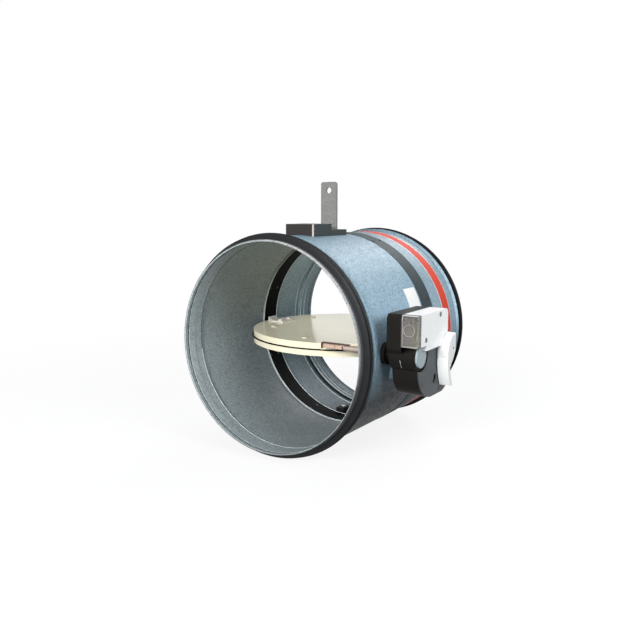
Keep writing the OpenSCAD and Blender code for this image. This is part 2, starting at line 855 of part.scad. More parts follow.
module pivot_bracket() color([0.66, 0.68, 0.69]) {
    difference() {
        mirror([1, 0, 0]) axle_bracket();
        for (y = [-bracket_screw_y, bracket_screw_y])
            bar_z(bracket_screw_r, 0, board_top + 2 * bracket_t, -bracket_screw_x, y);
    }
}

module bracket_screws() color([0.78, 0.79, 0.8]) {
    seat = board_top + bracket_t;
    for (side = [-1, 1], y = [-bracket_screw_y, bracket_screw_y]) {
        bar_z(bracket_screw_r - film, board_top - bracket_screw_len, seat + bracket_screw_head_h / 2,
            side * bracket_screw_x, y);
        difference() {
            bar_z(bracket_screw_head_r, seat, seat + bracket_screw_head_h, side * bracket_screw_x, y);
            screw_slot(bracket_screw_head_r, seat + bracket_screw_head_h / 2, side * bracket_screw_x, y);
        }
    }
}

module blade_drive_pin() color([0.8, 0.8, 0.8]) {
    bar_x(link_pin_r - film, lug_x0, rod_x1 + pin_head_h / 3, 0, crank_r);
    bar_x(eye_pin_head_r, lug_x0 - pin_head_h, lug_x0, 0, crank_r);
}

module crank_arm() color([0.62, 0.64, 0.66]) {
    difference() {
        slab(crank_x0, crank_x1) difference() {
            union() {
                translate([shaft_y, 0]) circle(r = crank_hub_r, $fn = small_fn);
                rect([shaft_y - eye_r, 0], [shaft_y + eye_r, crank_r]);
                translate([shaft_y, crank_r]) circle(r = eye_r, $fn = small_fn);
            }
            translate([shaft_y, 0]) circle(r = shaft_r + film, $fn = small_fn);
        }
        bar_x(link_pin_r, crank_x0 - cut, crank_x1 + cut, shaft_y, crank_r);
    }
}

module crank_pin() color([0.8, 0.8, 0.8]) {
    bar_x(link_pin_r - film, rod_x0 - pin_head_h, crank_x1, shaft_y, crank_r);
    bar_x(eye_pin_head_r, rod_x0 - move_gap - pin_head_h, rod_x0 - move_gap, shaft_y, crank_r);
}

module link_rod() color([0.68, 0.7, 0.72]) {
    neck = eye_r * eye_neck_share;
    difference() {
        slab(rod_x0, rod_x1) {
            rect([shaft_y, crank_r - neck], [0, crank_r + neck]);
            for (y = [shaft_y, 0]) translate([y, crank_r]) circle(r = eye_r, $fn = small_fn);
        }
        for (y = [shaft_y, 0]) bar_x(link_pin_r + run_gap, rod_x0 - cut, rod_x1 + cut, y, crank_r);
    }
}

module lever_shaft() color([0.75, 0.76, 0.78]) {
    difference() {
        bar_x(shaft_r, crank_x0, lever_x1 - hub_t / 4, shaft_y);
        bar_z(lever_pin_r, -hub_r, shaft_r + cut, lever_x0 + hub_t / 2, shaft_y);
    }
}

module tunnel_bush() color([0.72, 0.6, 0.36]) {
    difference() {
        union() {
            bar_x(shaft_bush_r, shaft_collar_x + shaft_flange_t, tunnel_bush_x1, shaft_y);
            bar_x(shaft_flange_r, shaft_collar_x, shaft_collar_x + shaft_flange_t, shaft_y);
        }
        bar_x(shaft_r + run_gap, shaft_collar_x - cut, tunnel_bush_x1 + cut, shaft_y);
    }
}

module face_bush() color([0.2, 0.2, 0.21]) {
    difference() {
        union() {
            bar_x(shaft_bush_r, lower_x1 - 2 * shaft_flange_t, face_x1, shaft_y);
            bar_x(shaft_flange_r, lower_x1 - 2 * shaft_flange_t, lower_x1 - shaft_flange_t, shaft_y);
        }
        bar_x(shaft_r + run_gap, lower_x1 - 3 * shaft_flange_t, face_x1 + cut, shaft_y);
    }
}

// Disc with a lobe towards -Y, drawn as (y, z)
module cam_side(lobe_r, lobe_w) {
    difference() {
        union() {
            translate([shaft_y, 0]) circle(r = cam_r, $fn = small_fn * 2);
            intersection() {
                translate([shaft_y, 0]) circle(r = lobe_r, $fn = small_fn * 2);
                rect([shaft_y - lobe_r, -lobe_w / 2], [shaft_y, lobe_w / 2]);
            }
        }
        translate([shaft_y, 0]) circle(r = shaft_r + film, $fn = small_fn);
    }
}

module control_cam() color([0.85, 0.82, 0.7]) {
    slab(cam_x0, latch_lobe_x1) cam_side(latch_lobe_r, latch_lobe_w);
    slab(latch_lobe_x1 - film, switch_lobe_x0 + film) difference() {
        translate([shaft_y, 0]) circle(r = cam_r, $fn = small_fn * 2);
        translate([shaft_y, 0]) circle(r = shaft_r + film, $fn = small_fn);
    }
    slab(switch_lobe_x0, cam_x1) cam_side(cam_lobe_r, cam_lobe_w);
}

// Centre line of a spring that turns round an axis along X
function coil_point(i, x0, pitch, r, y, z) = let (a = 360 * i / spring_rings)
    [x0 + pitch * i / spring_rings, y + r * sin(a), z + r * cos(a)];

function coil_points(turns, x0, pitch, r, y, z) =
    [for (i = [0:turns * spring_rings]) coil_point(i, x0, pitch, r, y, z)];

closing_turns = coil_points(spring_turns, spring_x0, spring_pitch, spring_coil_r, shaft_y, 0);
trip_spring_turns = coil_points(trip_turns, trip_spring_x0, trip_pitch, trip_coil_r, trip_y, trip_z);

// Least distance between turns of a spring, measured on its points, less the wire
function coil_gap(points, wire_r) = min([for (i = [0:len(points) - 1 - spring_rings])
    norm(points[i + spring_rings] - points[i])]) - 2 * wire_r;

echo(closing_spring_gap = coil_gap(closing_turns, spring_wire_r));
echo(trip_spring_gap = coil_gap(trip_spring_turns, trip_wire_r));

// Closed tube with six sides swept along a list of points that climbs along X
module swept_tube(points, r) {
    count = len(points);
    corners = [for (i = [0:count - 1]) let (
            before = points[max(i - 1, 0)], after = points[min(i + 1, count - 1)],
            t = (after - before) / norm(after - before),
            side = cross(t, [1, 0, 0]), u = side / norm(side), v = cross(u, t))
        for (k = [0:spring_sides - 1]) let (a = 360 * k / spring_sides)
            points[i] + r * (cos(a) * u + sin(a) * v)];
    walls = [for (i = [0:count - 2], k = [0:spring_sides - 1]) let (
            a = i * spring_sides + k, b = i * spring_sides + (k + 1) % spring_sides)
        each [[a, b, a + spring_sides], [b, b + spring_sides, a + spring_sides]]];
    last = (count - 1) * spring_sides;
    caps = [for (k = [1:spring_sides - 2]) each [[0, k + 1, k], [last, last + k, last + k + 1]]];
    polyhedron(points = corners, faces = concat(walls, caps));
}

module closing_spring() color([0.55, 0.56, 0.58]) {
    first_leg = closing_turns[0] + [0, -spring_leg, 0];
    last_leg = closing_turns[len(closing_turns) - 1] + [0, spring_leg / 2, 0];
    swept_tube(concat([first_leg], closing_turns, [last_leg]), spring_wire_r);
}

module trip_spring() color([0.6, 0.61, 0.63]) {
    swept_tube(trip_spring_turns, trip_wire_r);
}

// Right edge of the grip from the top down, as shares of the hub's radius
grip_edge_shares = [[0, 1.1], [0, 0], [-0.45, -0.39], [-0.61, -0.78], [-0.75, -1.1]];
// Radius and height of the arc that the tail follows, as shares of the hub's radius
tail_arc_share = 3.3;
tail_height_share = 0.3;

// Side view of the grip, drawn as (y, z): the hub's left half and the tail below it
module grip_side() {
    tail_w = hub_r / 4;
    tail_r = hub_r * tail_arc_share;
    intersection() {
        translate([shaft_y, 0]) circle(r = hub_r, $fn = small_fn * 2);
        translate([shaft_y, 0]) polygon(concat([for (p = grip_edge_shares) hub_r * p],
            [[-2 * hub_r, -2 * hub_r], [-2 * hub_r, 2 * hub_r]]));
    }
    intersection() {
        translate([shaft_y - hub_r + tail_r, -hub_r * tail_height_share]) difference() {
            circle(r = tail_r, $fn = round_fn);
            circle(r = tail_r - tail_w, $fn = round_fn);
        }
        rect([shaft_y - hub_r - tail_w, -lever_reach], [shaft_y, -hub_r * tail_height_share]);
    }
}

module lever() color([0.93, 0.93, 0.91]) {
    difference() {
        union() {
            slab(lever_x0, lever_x1) {
                translate([shaft_y, 0]) circle(r = hub_r, $fn = small_fn * 2);
                grip_side();
            }
            slab(lever_x1 - film, grip_x1) grip_side();
        }
        bar_x(shaft_r + film, lever_x0 - cut, lever_x1 - hub_t / 4, shaft_y);
        bar_z(lever_pin_r, -hub_r - cut, shaft_r, lever_x0 + hub_t / 2, shaft_y);
        bar_x(lever_pin_r, grip_x1 - hub_t / 2, grip_x1 + cut, shaft_y - shaft_r - lever_pin_r, shaft_r);
    }
}

// Spring pin that holds the lever on its shaft
module lever_pin() color([0.7, 0.71, 0.73]) {
    bar_z(lever_pin_r - film, -hub_r + lever_pin_r, shaft_r - film, lever_x0 + hub_t / 2, shaft_y);
}

// Places of the four screws that hold the saddle to the tunnel, inside its pocket
module saddle_places() {
    for (y = [saddle_left_y + saddle_screw_inset, saddle_right_y - saddle_screw_inset],
         z = [-saddle_half + saddle_screw_inset, saddle_half - saddle_screw_inset])
        translate([0, y, z]) children();
}

module mounting_saddle() color([0.55, 0.58, 0.6]) {
    floor_x = sqrt(pow(tube_r, 2) - pow(saddle_half, 2)) - saddle_wall;
    difference() {
        block([floor_x, saddle_left_y, -saddle_half], [case_x0, saddle_right_y, saddle_half]);
        disc_y(tube_r, saddle_left_y - cut, saddle_right_y + cut);
        difference() {
            block([floor_x, saddle_left_y + saddle_wall, -saddle_half + saddle_wall],
                [case_x0 - saddle_wall, saddle_right_y - saddle_wall, saddle_half - saddle_wall]);
            disc_y(tube_r + saddle_wall, saddle_left_y, saddle_right_y);
        }
        saddle_places() bar_x(saddle_screw_r, floor_x, tube_r + 2 * saddle_wall);
        saddle_places() bar_x(saddle_screw_head_r + film, tube_r + saddle_wall, case_x0 + cut);
        bar_x(shaft_bush_r + film, floor_x, case_x0 + cut, shaft_y);
    }
}

module saddle_screws() color([0.75, 0.76, 0.77]) {
    z = saddle_half - saddle_screw_inset;
    seat = sqrt(pow(tube_r + saddle_wall, 2) - pow(z - saddle_screw_head_r, 2));
    saddle_places() {
        bar_x(saddle_screw_r - film, seat - 2 * saddle_wall - sheet_t, seat + saddle_screw_head_h / 2);
        bar_x(saddle_screw_head_r, seat, seat + saddle_screw_head_h);
    }
}

// Outline of the lower housing, drawn as (y, z) and drawn in by an inset
module lower_outline(inset) {
    left = case_left_y + inset;
    right = case_right_y - inset;
    bottom = -case_bottom + inset;
    top = case_top - inset;
    left_r = left_corner_r - inset;
    right_r = right_corner_r - inset;
    rect([left + left_r, bottom], [right - right_r, top]);
    rect([left, bottom + left_r], [left + left_r + film, top]);
    rect([right - right_r - film, bottom + right_r], [right, 0]);
    intersection() {
        translate([left + left_r, bottom + left_r]) circle(r = left_r, $fn = small_fn * 2);
        rect([left, bottom], [left + left_r + film, bottom + left_r + film]);
    }
    intersection() {
        translate([right - right_r, bottom + right_r]) circle(r = right_r, $fn = small_fn * 2);
        rect([right - right_r - film, bottom], [right, bottom + right_r + film]);
    }
    translate([shaft_y, 0]) circle(r = top_lobe_r - inset, $fn = small_fn * 2);
}

// Places of the faceplate screws and of the posts that they enter, as (y, z)
face_screw_places = [
    [case_left_y + left_corner_r - (left_corner_r - face_screw_inset) * sin(55),
     -case_bottom + left_corner_r - (left_corner_r - face_screw_inset) * cos(55)],
    [case_right_y - right_corner_r - face_screw_inset, -case_bottom + face_screw_inset],
    [case_right_y - face_screw_inset, -case_bottom + left_corner_r]];

module mechanism_housing() color([0.14, 0.13, 0.12]) {
    difference() {
        union() {
            difference() {
                union() {
                    slab(case_x0, lower_x1) lower_outline(0);
                    slab(case_x0, upper_x1)
                        rounded([upper_left_y, case_top - case_wall], [upper_right_y, upper_top],
                            upper_corner_r);
                }
                slab(case_x0 + case_back_t, lower_x1 + cut) lower_outline(case_wall);
                slab(case_x0 + case_back_t, upper_x1 + cut) difference() {
                    rounded([upper_left_y + case_wall, case_top],
                        [upper_right_y - case_wall, upper_top - case_wall], upper_corner_r - case_wall);
                    lower_outline(0);
                }
            }
            bar_x(nose_r, case_x0, nose_x1, trip_y, trip_z);
            for (p = face_screw_places) bar_x(post_r, case_x0 + case_back_t - film, lower_x1, p[0], p[1]);
            for (p = cover_screw_places)
                bar_x(cover_screw_pillar_r, case_x0 + case_back_t - film, upper_x1, p[0], p[1]);
        }
        // The nose is bored for the button, its stem and the latch, and stands clear of the faceplate
        bar_x(nose_r + face_gap, nose_x1, face_x1 + cut, trip_y, trip_z);
        bar_x(nose_bore_r, button_x0 - button_travel - button_gap, lower_x1 + cut, trip_y, trip_z);
        bar_x(button_stem_r + button_gap, tube_tail_x, lower_x1, trip_y, trip_z);
        bar_x(tube_out_r + film, case_x0 - cut, lower_x1, trip_y, trip_z);
        latch_room();
        // The wall between the two rooms lets the cables through
        slab(case_x0 + case_back_t + case_wall, upper_x1 - case_wall)
            rect([shaft_y - hub_r - 3 * case_wall, case_top - 2 * case_wall],
                [shaft_y - hub_r, case_top + case_wall]);
        bar_x(shaft_r + run_gap, case_x0 - cut, case_x0 + case_back_t + cut, shaft_y);
        for (p = face_screw_places)
            bar_x(face_screw_r, lower_x1 - face_screw_len, lower_x1 + cut, p[0], p[1]);
        for (p = cover_screw_places) bar_x(cover_screw_r, case_x0 + case_back_t, upper_x1 + cut, p[0], p[1]);
    }
}

// Room for the latch lever through the wall between the nose and the lower housing
module latch_room() {
    half = latch_h / 2 + move_gap;
    block([latch_x0 - 2 * button_travel, trip_y - button_stem_r - move_gap, trip_z - half],
        [latch_x1 + button_travel, case_left_y + left_corner_r, trip_z + half]);
}

module faceplate() color([0.33, 0.36, 0.38]) {
    slab(lower_x1, face_x1) difference() {
        intersection() {
            lower_outline(face_gap);
            difference() {
                rect([case_left_y, -case_bottom], [case_right_y, top_lobe_r]);
                translate([trip_y, trip_z]) circle(r = nose_r + face_gap, $fn = small_fn * 2);
            }
        }
        translate([shaft_y, 0]) circle(r = shaft_bush_r + film, $fn = small_fn);
        translate([keyhole_y, keyhole_z]) circle(r = keyhole_r, $fn = small_fn);
        translate([keyhole_y, keyhole_z]) rotate(-35)
            rect([-keyhole_slot_w / 2, -keyhole_slot_len], [keyhole_slot_w / 2, 0]);
        for (p = face_screw_places) translate(p) circle(r = face_screw_r, $fn = small_fn);
    }
}

module faceplate_screws() color([0.25, 0.27, 0.28]) {
    for (p = face_screw_places) difference() {
        union() {
            bar_x(face_screw_r - film, lower_x1 - face_screw_len + 2 * film, face_x1 + film, p[0], p[1]);
            bar_x(face_screw_head_r, face_x1, face_x1 + face_screw_head_h / 2, p[0], p[1]);
        }
        screw_cross(face_screw_head_r, face_x1 + face_screw_head_h / 4, p[0], p[1]);
    }
}

// Places of the two cover screws, as (y, z)
cover_screw_places = [
    [upper_right_y - cover_screw_left, upper_top - cover_screw_inset],
    [trip_y, trip_z + nose_r + cover_screw_pillar_r + move_gap]];

// Outline of the whole terminal cover, drawn as (y, z) and drawn in by an inset
module cover_outline(inset) {
    difference() {
        intersection() {
            rounded([upper_left_y + inset, case_top + cover_seam + inset],
                [upper_right_y - inset, upper_top - inset], upper_corner_r - inset);
            union() {
                rect([upper_left_y, cover_step_z + inset], [upper_right_y, upper_top]);
                rect([cover_step_y + inset, case_top], [upper_right_y, upper_top]);
            }
        }
        translate([shaft_y, 0]) circle(r = lever_cut_r + inset, $fn = small_fn * 2);
    }
}

// Hollow cover between two y values, open towards the housing
module cover_shell(y0, y1) {
    intersection() {
        difference() {
            slab(upper_x1 + film, cover_x1) cover_outline(0);
            slab(upper_x1 - cut, cover_x1 - cover_wall) cover_outline(cover_wall);
            bar_x(nose_r + move_gap, upper_x1 - cut, face_x1 + move_gap, trip_y, trip_z);
        }
        block([upper_x1, y0, 0], [cover_x1, y1, upper_top]);
    }
}

module terminal_cover() color([0.95, 0.95, 0.94]) {
    y0 = upper_left_y + window_w;
    difference() {
        union() {
            cover_shell(y0 + cover_seam, upper_right_y);
            for (p = cover_screw_places)
                bar_x(cover_screw_pillar_r, upper_x1 + film, cover_x1 - film, p[0], p[1]);
        }
        for (p = cover_screw_places) bar_x(cover_screw_r, upper_x1 - cut, cover_x1 + cut, p[0], p[1]);
        for (p = cover_screw_places)
            bar_x(cover_screw_head_r + film, cover_x1 - cover_screw_head_h, cover_x1 + cut, p[0], p[1]);
    }
}

// Middle of the knockout on the end wall of the clear window
knockout_x = (upper_x1 + cover_x1) / 2;
knockout_z = (cover_step_z + upper_top) / 2;

module terminal_window() color([0.75, 0.74, 0.7, 0.5]) {
    difference() {
        cover_shell(upper_left_y, upper_left_y + window_w);
        translate([knockout_x, upper_left_y - cut, knockout_z]) along_y() difference() {
            cylinder(r = knockout_r, h = cut + knockout_ring_h, $fn = small_fn);
            translate([0, 0, -cut]) cylinder(r = knockout_r - knockout_ring_w, h = 3 * cut, $fn = small_fn);
        }
    }
}

module cover_screws() color([0.8, 0.81, 0.82]) {
    for (p = cover_screw_places) difference() {
        union() {
            bar_x(cover_screw_r - film, case_x0 + 2 * case_back_t, cover_x1 - cover_screw_head_h / 2,
                p[0], p[1]);
            bar_x(cover_screw_head_r, cover_x1 - cover_screw_head_h, cover_x1, p[0], p[1]);
        }
        screw_cross(cover_screw_head_r, cover_x1 - cover_screw_head_h / 2, p[0], p[1]);
    }
}

// Terminal block: body size, number of ways and the bore of each way
block_w = 12;
block_h = 30;
block_d = 36;
block_ways = 6;
block_bore_r = 1.5;
block_bore_depth = 6;

module terminal_block() color([0.25, 0.55, 0.25]) {
    y0 = upper_left_y + case_wall + move_gap;
    z0 = cover_step_z + cover_wall + 2 * move_gap;
    x0 = case_x0 + case_back_t;
    pitch = block_h / block_ways;
    difference() {
        block([x0, y0, z0], [x0 + block_d, y0 + block_w, z0 + block_h]);
        for (i = [0:block_ways - 1])
            bar_x(block_bore_r, x0 + block_d - block_bore_depth, x0 + block_d + cut,
                y0 + block_w / 2, z0 + pitch * (i + 0.5));
    }
}

module switch_plate() color([0.2, 0.35, 0.25]) {
    y0 = open_switch_y - switch_h - 2 * switch_gap;
    y1 = shaft_y + switch_w / 2;
    z0 = closed_switch_z - switch_h - 2 * switch_gap;
    slab(switch_plate_x0, lower_x1 - film) difference() {
        rect([y0, z0], [y1, open_switch_top]);
        translate([shaft_y, 0]) circle(r = cam_lobe_r, $fn = small_fn);
    }
}

// Contact switch: its body, a hinge foot and a spring strip, lying along +Y with the strip on top
module contact_switch() {
    strip_x0 = switch_x0 + (switch_t - switch_lever_w) / 2;
    strip_x1 = strip_x0 + switch_lever_w;
    block([switch_x0, 0, -switch_h - switch_gap], [switch_x1, switch_w, -switch_gap]);
    block([strip_x0, 0, -switch_gap - film], [strip_x1, switch_hinge, switch_lever_t]);
    block([strip_x0, 0, 0], [strip_x1, switch_lever_len, switch_lever_t]);
}

module open_switch() color([0.12, 0.12, 0.13]) {
    translate([0, open_switch_y, open_switch_top - switch_w]) rotate([90, 0, 0]) mirror([0, 0, 1])
        contact_switch();
}

module closed_switch() color([0.12, 0.12, 0.13]) {
    translate([0, shaft_y - switch_w / 2, closed_switch_z]) contact_switch();
}

module latch_lever() color([0.7, 0.71, 0.73]) {
    low = trip_z - latch_h / 2;
    high = trip_z + latch_h / 2;
    difference() {
        union() {
            block([latch_x0, trip_y - button_stem_r, low], [latch_x1, latch_tip_y, high]);
            bar_z(latch_boss_r, low, high, (latch_x0 + latch_x1) / 2, latch_pivot_y);
        }
        bar_x(latch_slot_half, latch_x0 - cut, latch_x1 + cut, trip_y, trip_z);
        bar_z(latch_pin_r + run_gap, low - cut, high + cut, (latch_x0 + latch_x1) / 2, latch_pivot_y);
    }
}

module latch_pin() color([0.8, 0.8, 0.82]) {
    bar_z(latch_pin_r, trip_z - latch_h, case_top - case_wall, (latch_x0 + latch_x1) / 2, latch_pivot_y);
}

module trip_collar() color([0.07, 0.07, 0.07]) {
    difference() {
        union() {
            bar_x(collar_r, bore_r, collar_x1, trip_y, trip_z);
            bar_x(neck_r, bore_r, case_x0, trip_y, trip_z);
        }
        disc_y(tube_r, trip_y - 2 * collar_r, trip_y + 2 * collar_r);
        bar_x(tube_out_r + film, bore_r - cut, case_x0 + cut, trip_y, trip_z);
    }
}

module fuse_tube() color([0.62, 0.64, 0.66]) {
    difference() {
        bar_x(tube_out_r, tube_tip_x, tube_tail_x, trip_y, trip_z);
        bar_x(tube_in_r, tube_tip_x - cut, tube_neck_x, trip_y, trip_z);
        bar_x(tube_neck_r, tube_neck_x - cut, tube_tail_x + cut, trip_y, trip_z);
    }
}

module fuse_cage() color([0.3, 0.28, 0.26]) {
    z = trip_z + tube_out_r;
    difference() {
        union() {
            block([cage_tip_x, trip_y - cage_w / 2, z + film],
                [tube_tip_x + cage_lap, trip_y + cage_w / 2, z + cage_t]);
            block([cage_tip_x, trip_y - cage_w / 2, trip_z - tube_out_r],
                [cage_tip_x + cage_t, trip_y + cage_w / 2, z + cage_t]);
        }
        bar_x(trip_rod_r, cage_tip_x - cut, cage_tip_x + 2 * cage_t, trip_y, trip_z);
    }
}

// Two copper plates lapped and soldered, holding the trip pin against the cage
module fusible_link() color([0.68, 0.4, 0.26]) {
    x0 = cage_tip_x + cage_t;
    x1 = trip_rod_x0 - link_tip_gap;
    low = trip_z - link_plate_h / 2;
    high = low + link_plate_h;
    block([x0, trip_y - link_plate_t, low], [x0 + link_plate_len, trip_y, high]);
    block([x1 - link_plate_len, trip_y, low], [x1, trip_y + link_plate_t, high]);
}

module trip_pin() color([0.78, 0.79, 0.8]) {
    head_x = latch_x1 + button_gap;
    collar_x = trip_spring_x0 - trip_wire_r - spring_seat;
    bar_x(trip_rod_r, trip_rod_x0, head_x + trip_head_t, trip_y, trip_z);
    bar_x(trip_head_r, head_x, head_x + trip_head_t, trip_y, trip_z);
    bar_x(tube_in_r - spring_seat, collar_x - trip_collar_t, collar_x, trip_y, trip_z);
}

module trip_button() color([0.59, 0.65, 0.69]) {
    difference() {
        union() {
            bar_x(button_r, button_x0, button_x1, trip_y, trip_z);
            bar_x(button_stem_r, stem_x0, button_x0 + film, trip_y, trip_z);
        }
        bar_x(button_bore_r, stem_x0 - cut, button_x0, trip_y, trip_z);
    }
}

module button_ring() color([0.1, 0.11, 0.12]) {
    difference() {
        bar_x(nose_r, nose_x1 + film, nose_x1 + film + button_ring_t, trip_y, trip_z);
        bar_x(nose_bore_r, nose_x1 - cut, lower_x1, trip_y, trip_z);
    }
}

front_sleeve();
rear_sleeve();
insulating_ring();
swelling_strip();
joint_band();
wall_limit_tape();
tape_edges();
front_gasket();
rear_gasket();
joint_rivets();
sleeve_rivets();
blank_label();
near_axle_bush();
far_axle_bush();
blade_stop();
stop_screw();
hanger_base();
hanger_lug();
hanger_screws();
upper_board();
lower_board();
blade_seal();
board_bolts();
drive_bracket();
pivot_bracket();
bracket_screws();
blade_drive_pin();
crank_arm();
crank_pin();
link_rod();
lever_shaft();
tunnel_bush();
face_bush();
control_cam();
closing_spring();
lever();
lever_pin();
mounting_saddle();
saddle_screws();
mechanism_housing();
faceplate();
faceplate_screws();
terminal_cover();
terminal_window();
cover_screws();
terminal_block();
switch_plate();
open_switch();
closed_switch();
latch_lever();
latch_pin();
trip_collar();
fuse_tube();
fuse_cage();
fusible_link();
trip_pin();
trip_spring();
trip_button();
button_ring();
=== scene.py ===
import math

import bpy
import bmesh
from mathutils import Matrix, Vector


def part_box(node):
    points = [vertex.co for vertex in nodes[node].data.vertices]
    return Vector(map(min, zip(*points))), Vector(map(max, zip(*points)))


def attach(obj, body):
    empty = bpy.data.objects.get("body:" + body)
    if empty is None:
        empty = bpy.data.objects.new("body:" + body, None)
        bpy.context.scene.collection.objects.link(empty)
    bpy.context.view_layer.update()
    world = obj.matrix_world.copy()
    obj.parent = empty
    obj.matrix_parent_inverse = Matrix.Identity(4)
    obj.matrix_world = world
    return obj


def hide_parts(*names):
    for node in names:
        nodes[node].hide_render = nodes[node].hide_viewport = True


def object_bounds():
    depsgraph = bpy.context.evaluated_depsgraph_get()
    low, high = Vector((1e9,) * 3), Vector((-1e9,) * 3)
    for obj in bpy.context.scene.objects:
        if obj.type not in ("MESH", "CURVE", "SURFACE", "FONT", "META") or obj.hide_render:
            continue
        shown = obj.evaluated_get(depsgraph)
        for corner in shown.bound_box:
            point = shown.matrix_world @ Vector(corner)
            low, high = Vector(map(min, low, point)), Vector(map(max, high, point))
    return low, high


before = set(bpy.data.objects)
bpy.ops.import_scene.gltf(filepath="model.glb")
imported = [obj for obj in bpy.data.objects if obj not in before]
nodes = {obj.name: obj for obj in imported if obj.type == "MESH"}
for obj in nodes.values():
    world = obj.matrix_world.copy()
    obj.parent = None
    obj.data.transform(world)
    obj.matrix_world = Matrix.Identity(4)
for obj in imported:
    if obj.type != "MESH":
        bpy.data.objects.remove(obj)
cad_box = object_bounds()
scene = bpy.context.scene
scene.view_settings.view_transform = "Standard"

mm = 0.001
X, Y, Z = range(3)


# places read from the frame, in millimetres

def side_of(node, axis, end):
    """Where a node's box starts (end 0) or stops (end 1) along an axis, to the nearest tenth."""
    return round(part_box(node)[end][axis] / mm, 1)


def middle_of(node, axis):
    return (side_of(node, axis, 0) + side_of(node, axis, 1)) / 2


front_mouth = side_of("front_sleeve", Y, 0)
rear_mouth = side_of("rear_sleeve", Y, 1)
hanger_front = side_of("hanger_base", Y, 0)
hanger_right = side_of("hanger_base", X, 1)
faceplate_right = side_of("faceplate", X, 1)
lever_left = side_of("lever", X, 0)
lever_right = side_of("lever", X, 1)
window_front = side_of("terminal_window", Y, 0)
window_back = side_of("terminal_window", Y, 1)
window_right = side_of("terminal_window", X, 1)
block_front = side_of("terminal_block", Y, 0)
block_right = side_of("terminal_block", X, 1)
nose_y = middle_of("button_ring", Y)
nose_z = middle_of("button_ring", Z)
nose_r = side_of("button_ring", Y, 1) - nose_y


# camera and lights, in metres

camera_eye = (0.6044, -1.0118, 0.1972)
camera_target = (-0.0242, -0.038, 0.0162)
camera_lens = 40.6
camera_sensor = 36.0
camera_clip = (0.02, 50.0)


def look(obj, eye, target):
    obj.location = eye
    obj.rotation_euler = (Vector(target) - Vector(eye)).to_track_quat("-Z", "Y").to_euler()


def add_camera():
    data = bpy.data.cameras.new("camera")
    cam = bpy.data.objects.new("camera", data)
    scene.collection.objects.link(cam)
    data.sensor_width = camera_sensor
    data.lens = camera_lens
    data.clip_start, data.clip_end = camera_clip
    look(cam, camera_eye, camera_target)
    scene.camera = cam


def softbox(name, eye, target, size, watts, colour=(1, 1, 1)):
    """Area light of a width and height, placed at eye and turned to target."""
    data = bpy.data.lights.new(name, "AREA")
    data.shape = "RECTANGLE"
    data.size, data.size_y = size
    data.energy = watts
    data.color = colour
    obj = bpy.data.objects.new(name, data)
    scene.collection.objects.link(obj)
    look(obj, eye, target)


add_camera()
softbox("key_softbox", eye=(1.85, -0.55, 0.85), target=(0.05, 0, 0), size=(1.0, 1.0), watts=25,
        colour=(0.97, 0.99, 1.0))
softbox("top_softbox", eye=(-0.3, 0.1, 1.9), target=(0, 0, 0), size=(1.5, 1.5), watts=1.5,
        colour=(0.93, 0.97, 1.0))
softbox("front_fill", eye=(0.35, -2.6, 0.95), target=(0, -0.1, 0), size=(1.1, 0.9), watts=92)
softbox("back_glow", eye=(-0.1, 2.1, 1.25), target=(0, 0.05, 0), size=(1.1, 0.8), watts=27)


# shading nodes: t is a node tree, and coords its texture coordinates

def is_number(value):
    return isinstance(value, (int, float))


def rgba(colour):
    """Four channels from a grey level, three channels or four."""
    if is_number(colour):
        return (colour, colour, colour, 1)
    return colour if len(colour) == 4 else (*colour, 1)


def maths(t, operation, a, b):
    """Math on a socket and on a second socket or a number."""
    m = t.nodes.new("ShaderNodeMath")
    m.operation = operation
    t.links.new(a, m.inputs[0])
    if is_number(b):
        m.inputs[1].default_value = b
    else:
        t.links.new(b, m.inputs[1])
    return m.outputs[0]


def both(t, a, b):
    return maths(t, "MULTIPLY", a, b)


def from_range(t, value, start, stop):
    """0 up to start, 1 from stop on, and even between."""
    m = t.nodes.new("ShaderNodeMapRange")
    m.inputs["From Min"].default_value = start
    m.inputs["From Max"].default_value = stop
    t.links.new(value, m.inputs["Value"])
    return m.outputs["Result"]


def noise(t, coords, scale, detail, rough=0.55):
    n = t.nodes.new("ShaderNodeTexNoise")
    n.inputs["Scale"].default_value = scale
    n.inputs["Detail"].default_value = detail
    n.inputs["Roughness"].default_value = rough
    t.links.new(coords.outputs["Object"], n.inputs["Vector"])
    return n


def ramp(t, source, stops):
    """Colour of a value by its stops, each a position and a grey level or colour."""
    r = t.nodes.new("ShaderNodeValToRGB")
    while len(r.color_ramp.elements) < len(stops):
        r.color_ramp.elements.new(0.5)
    for e, (position, colour) in zip(r.color_ramp.elements, stops):
        e.position = position
        e.color = rgba(colour)
    t.links.new(source, r.inputs["Fac"])
    return r.outputs["Color"]


def mix_colour(t, fac, a, b, kind="MIX"):
    """Mix of two colours, where the factor and both colours are each a socket or a value."""
    m = t.nodes.new("ShaderNodeMix")
    m.data_type = "RGBA"
    m.blend_type = kind
    if is_number(fac):
        m.inputs[0].default_value = fac
    else:
        t.links.new(fac, m.inputs[0])
    for socket, value in ((m.inputs[6], a), (m.inputs[7], b)):
        if is_number(value) or isinstance(value, tuple):
            socket.default_value = rgba(value)
        else:
            t.links.new(value, socket)
    return m.outputs[2]


def darkened(t, colour, by, amount=1.0):
    return mix_colour(t, amount, colour, by, "MULTIPLY")


def along_axis(t, coords, axis):
    """One coordinate of the object's own frame, in metres."""
    split = t.nodes.new("ShaderNodeSeparateXYZ")
    t.links.new(coords.outputs["Object"], split.inputs["Vector"])
    return split.outputs[axis]


def past(t, coords, axis, edge, sense=1):
    """1 past an edge in millimetres along an axis and 0 before it, or the reverse for sense -1."""
    return maths(t, "GREATER_THAN" if sense > 0 else "LESS_THAN", along_axis(t, coords, axis), edge * mm)


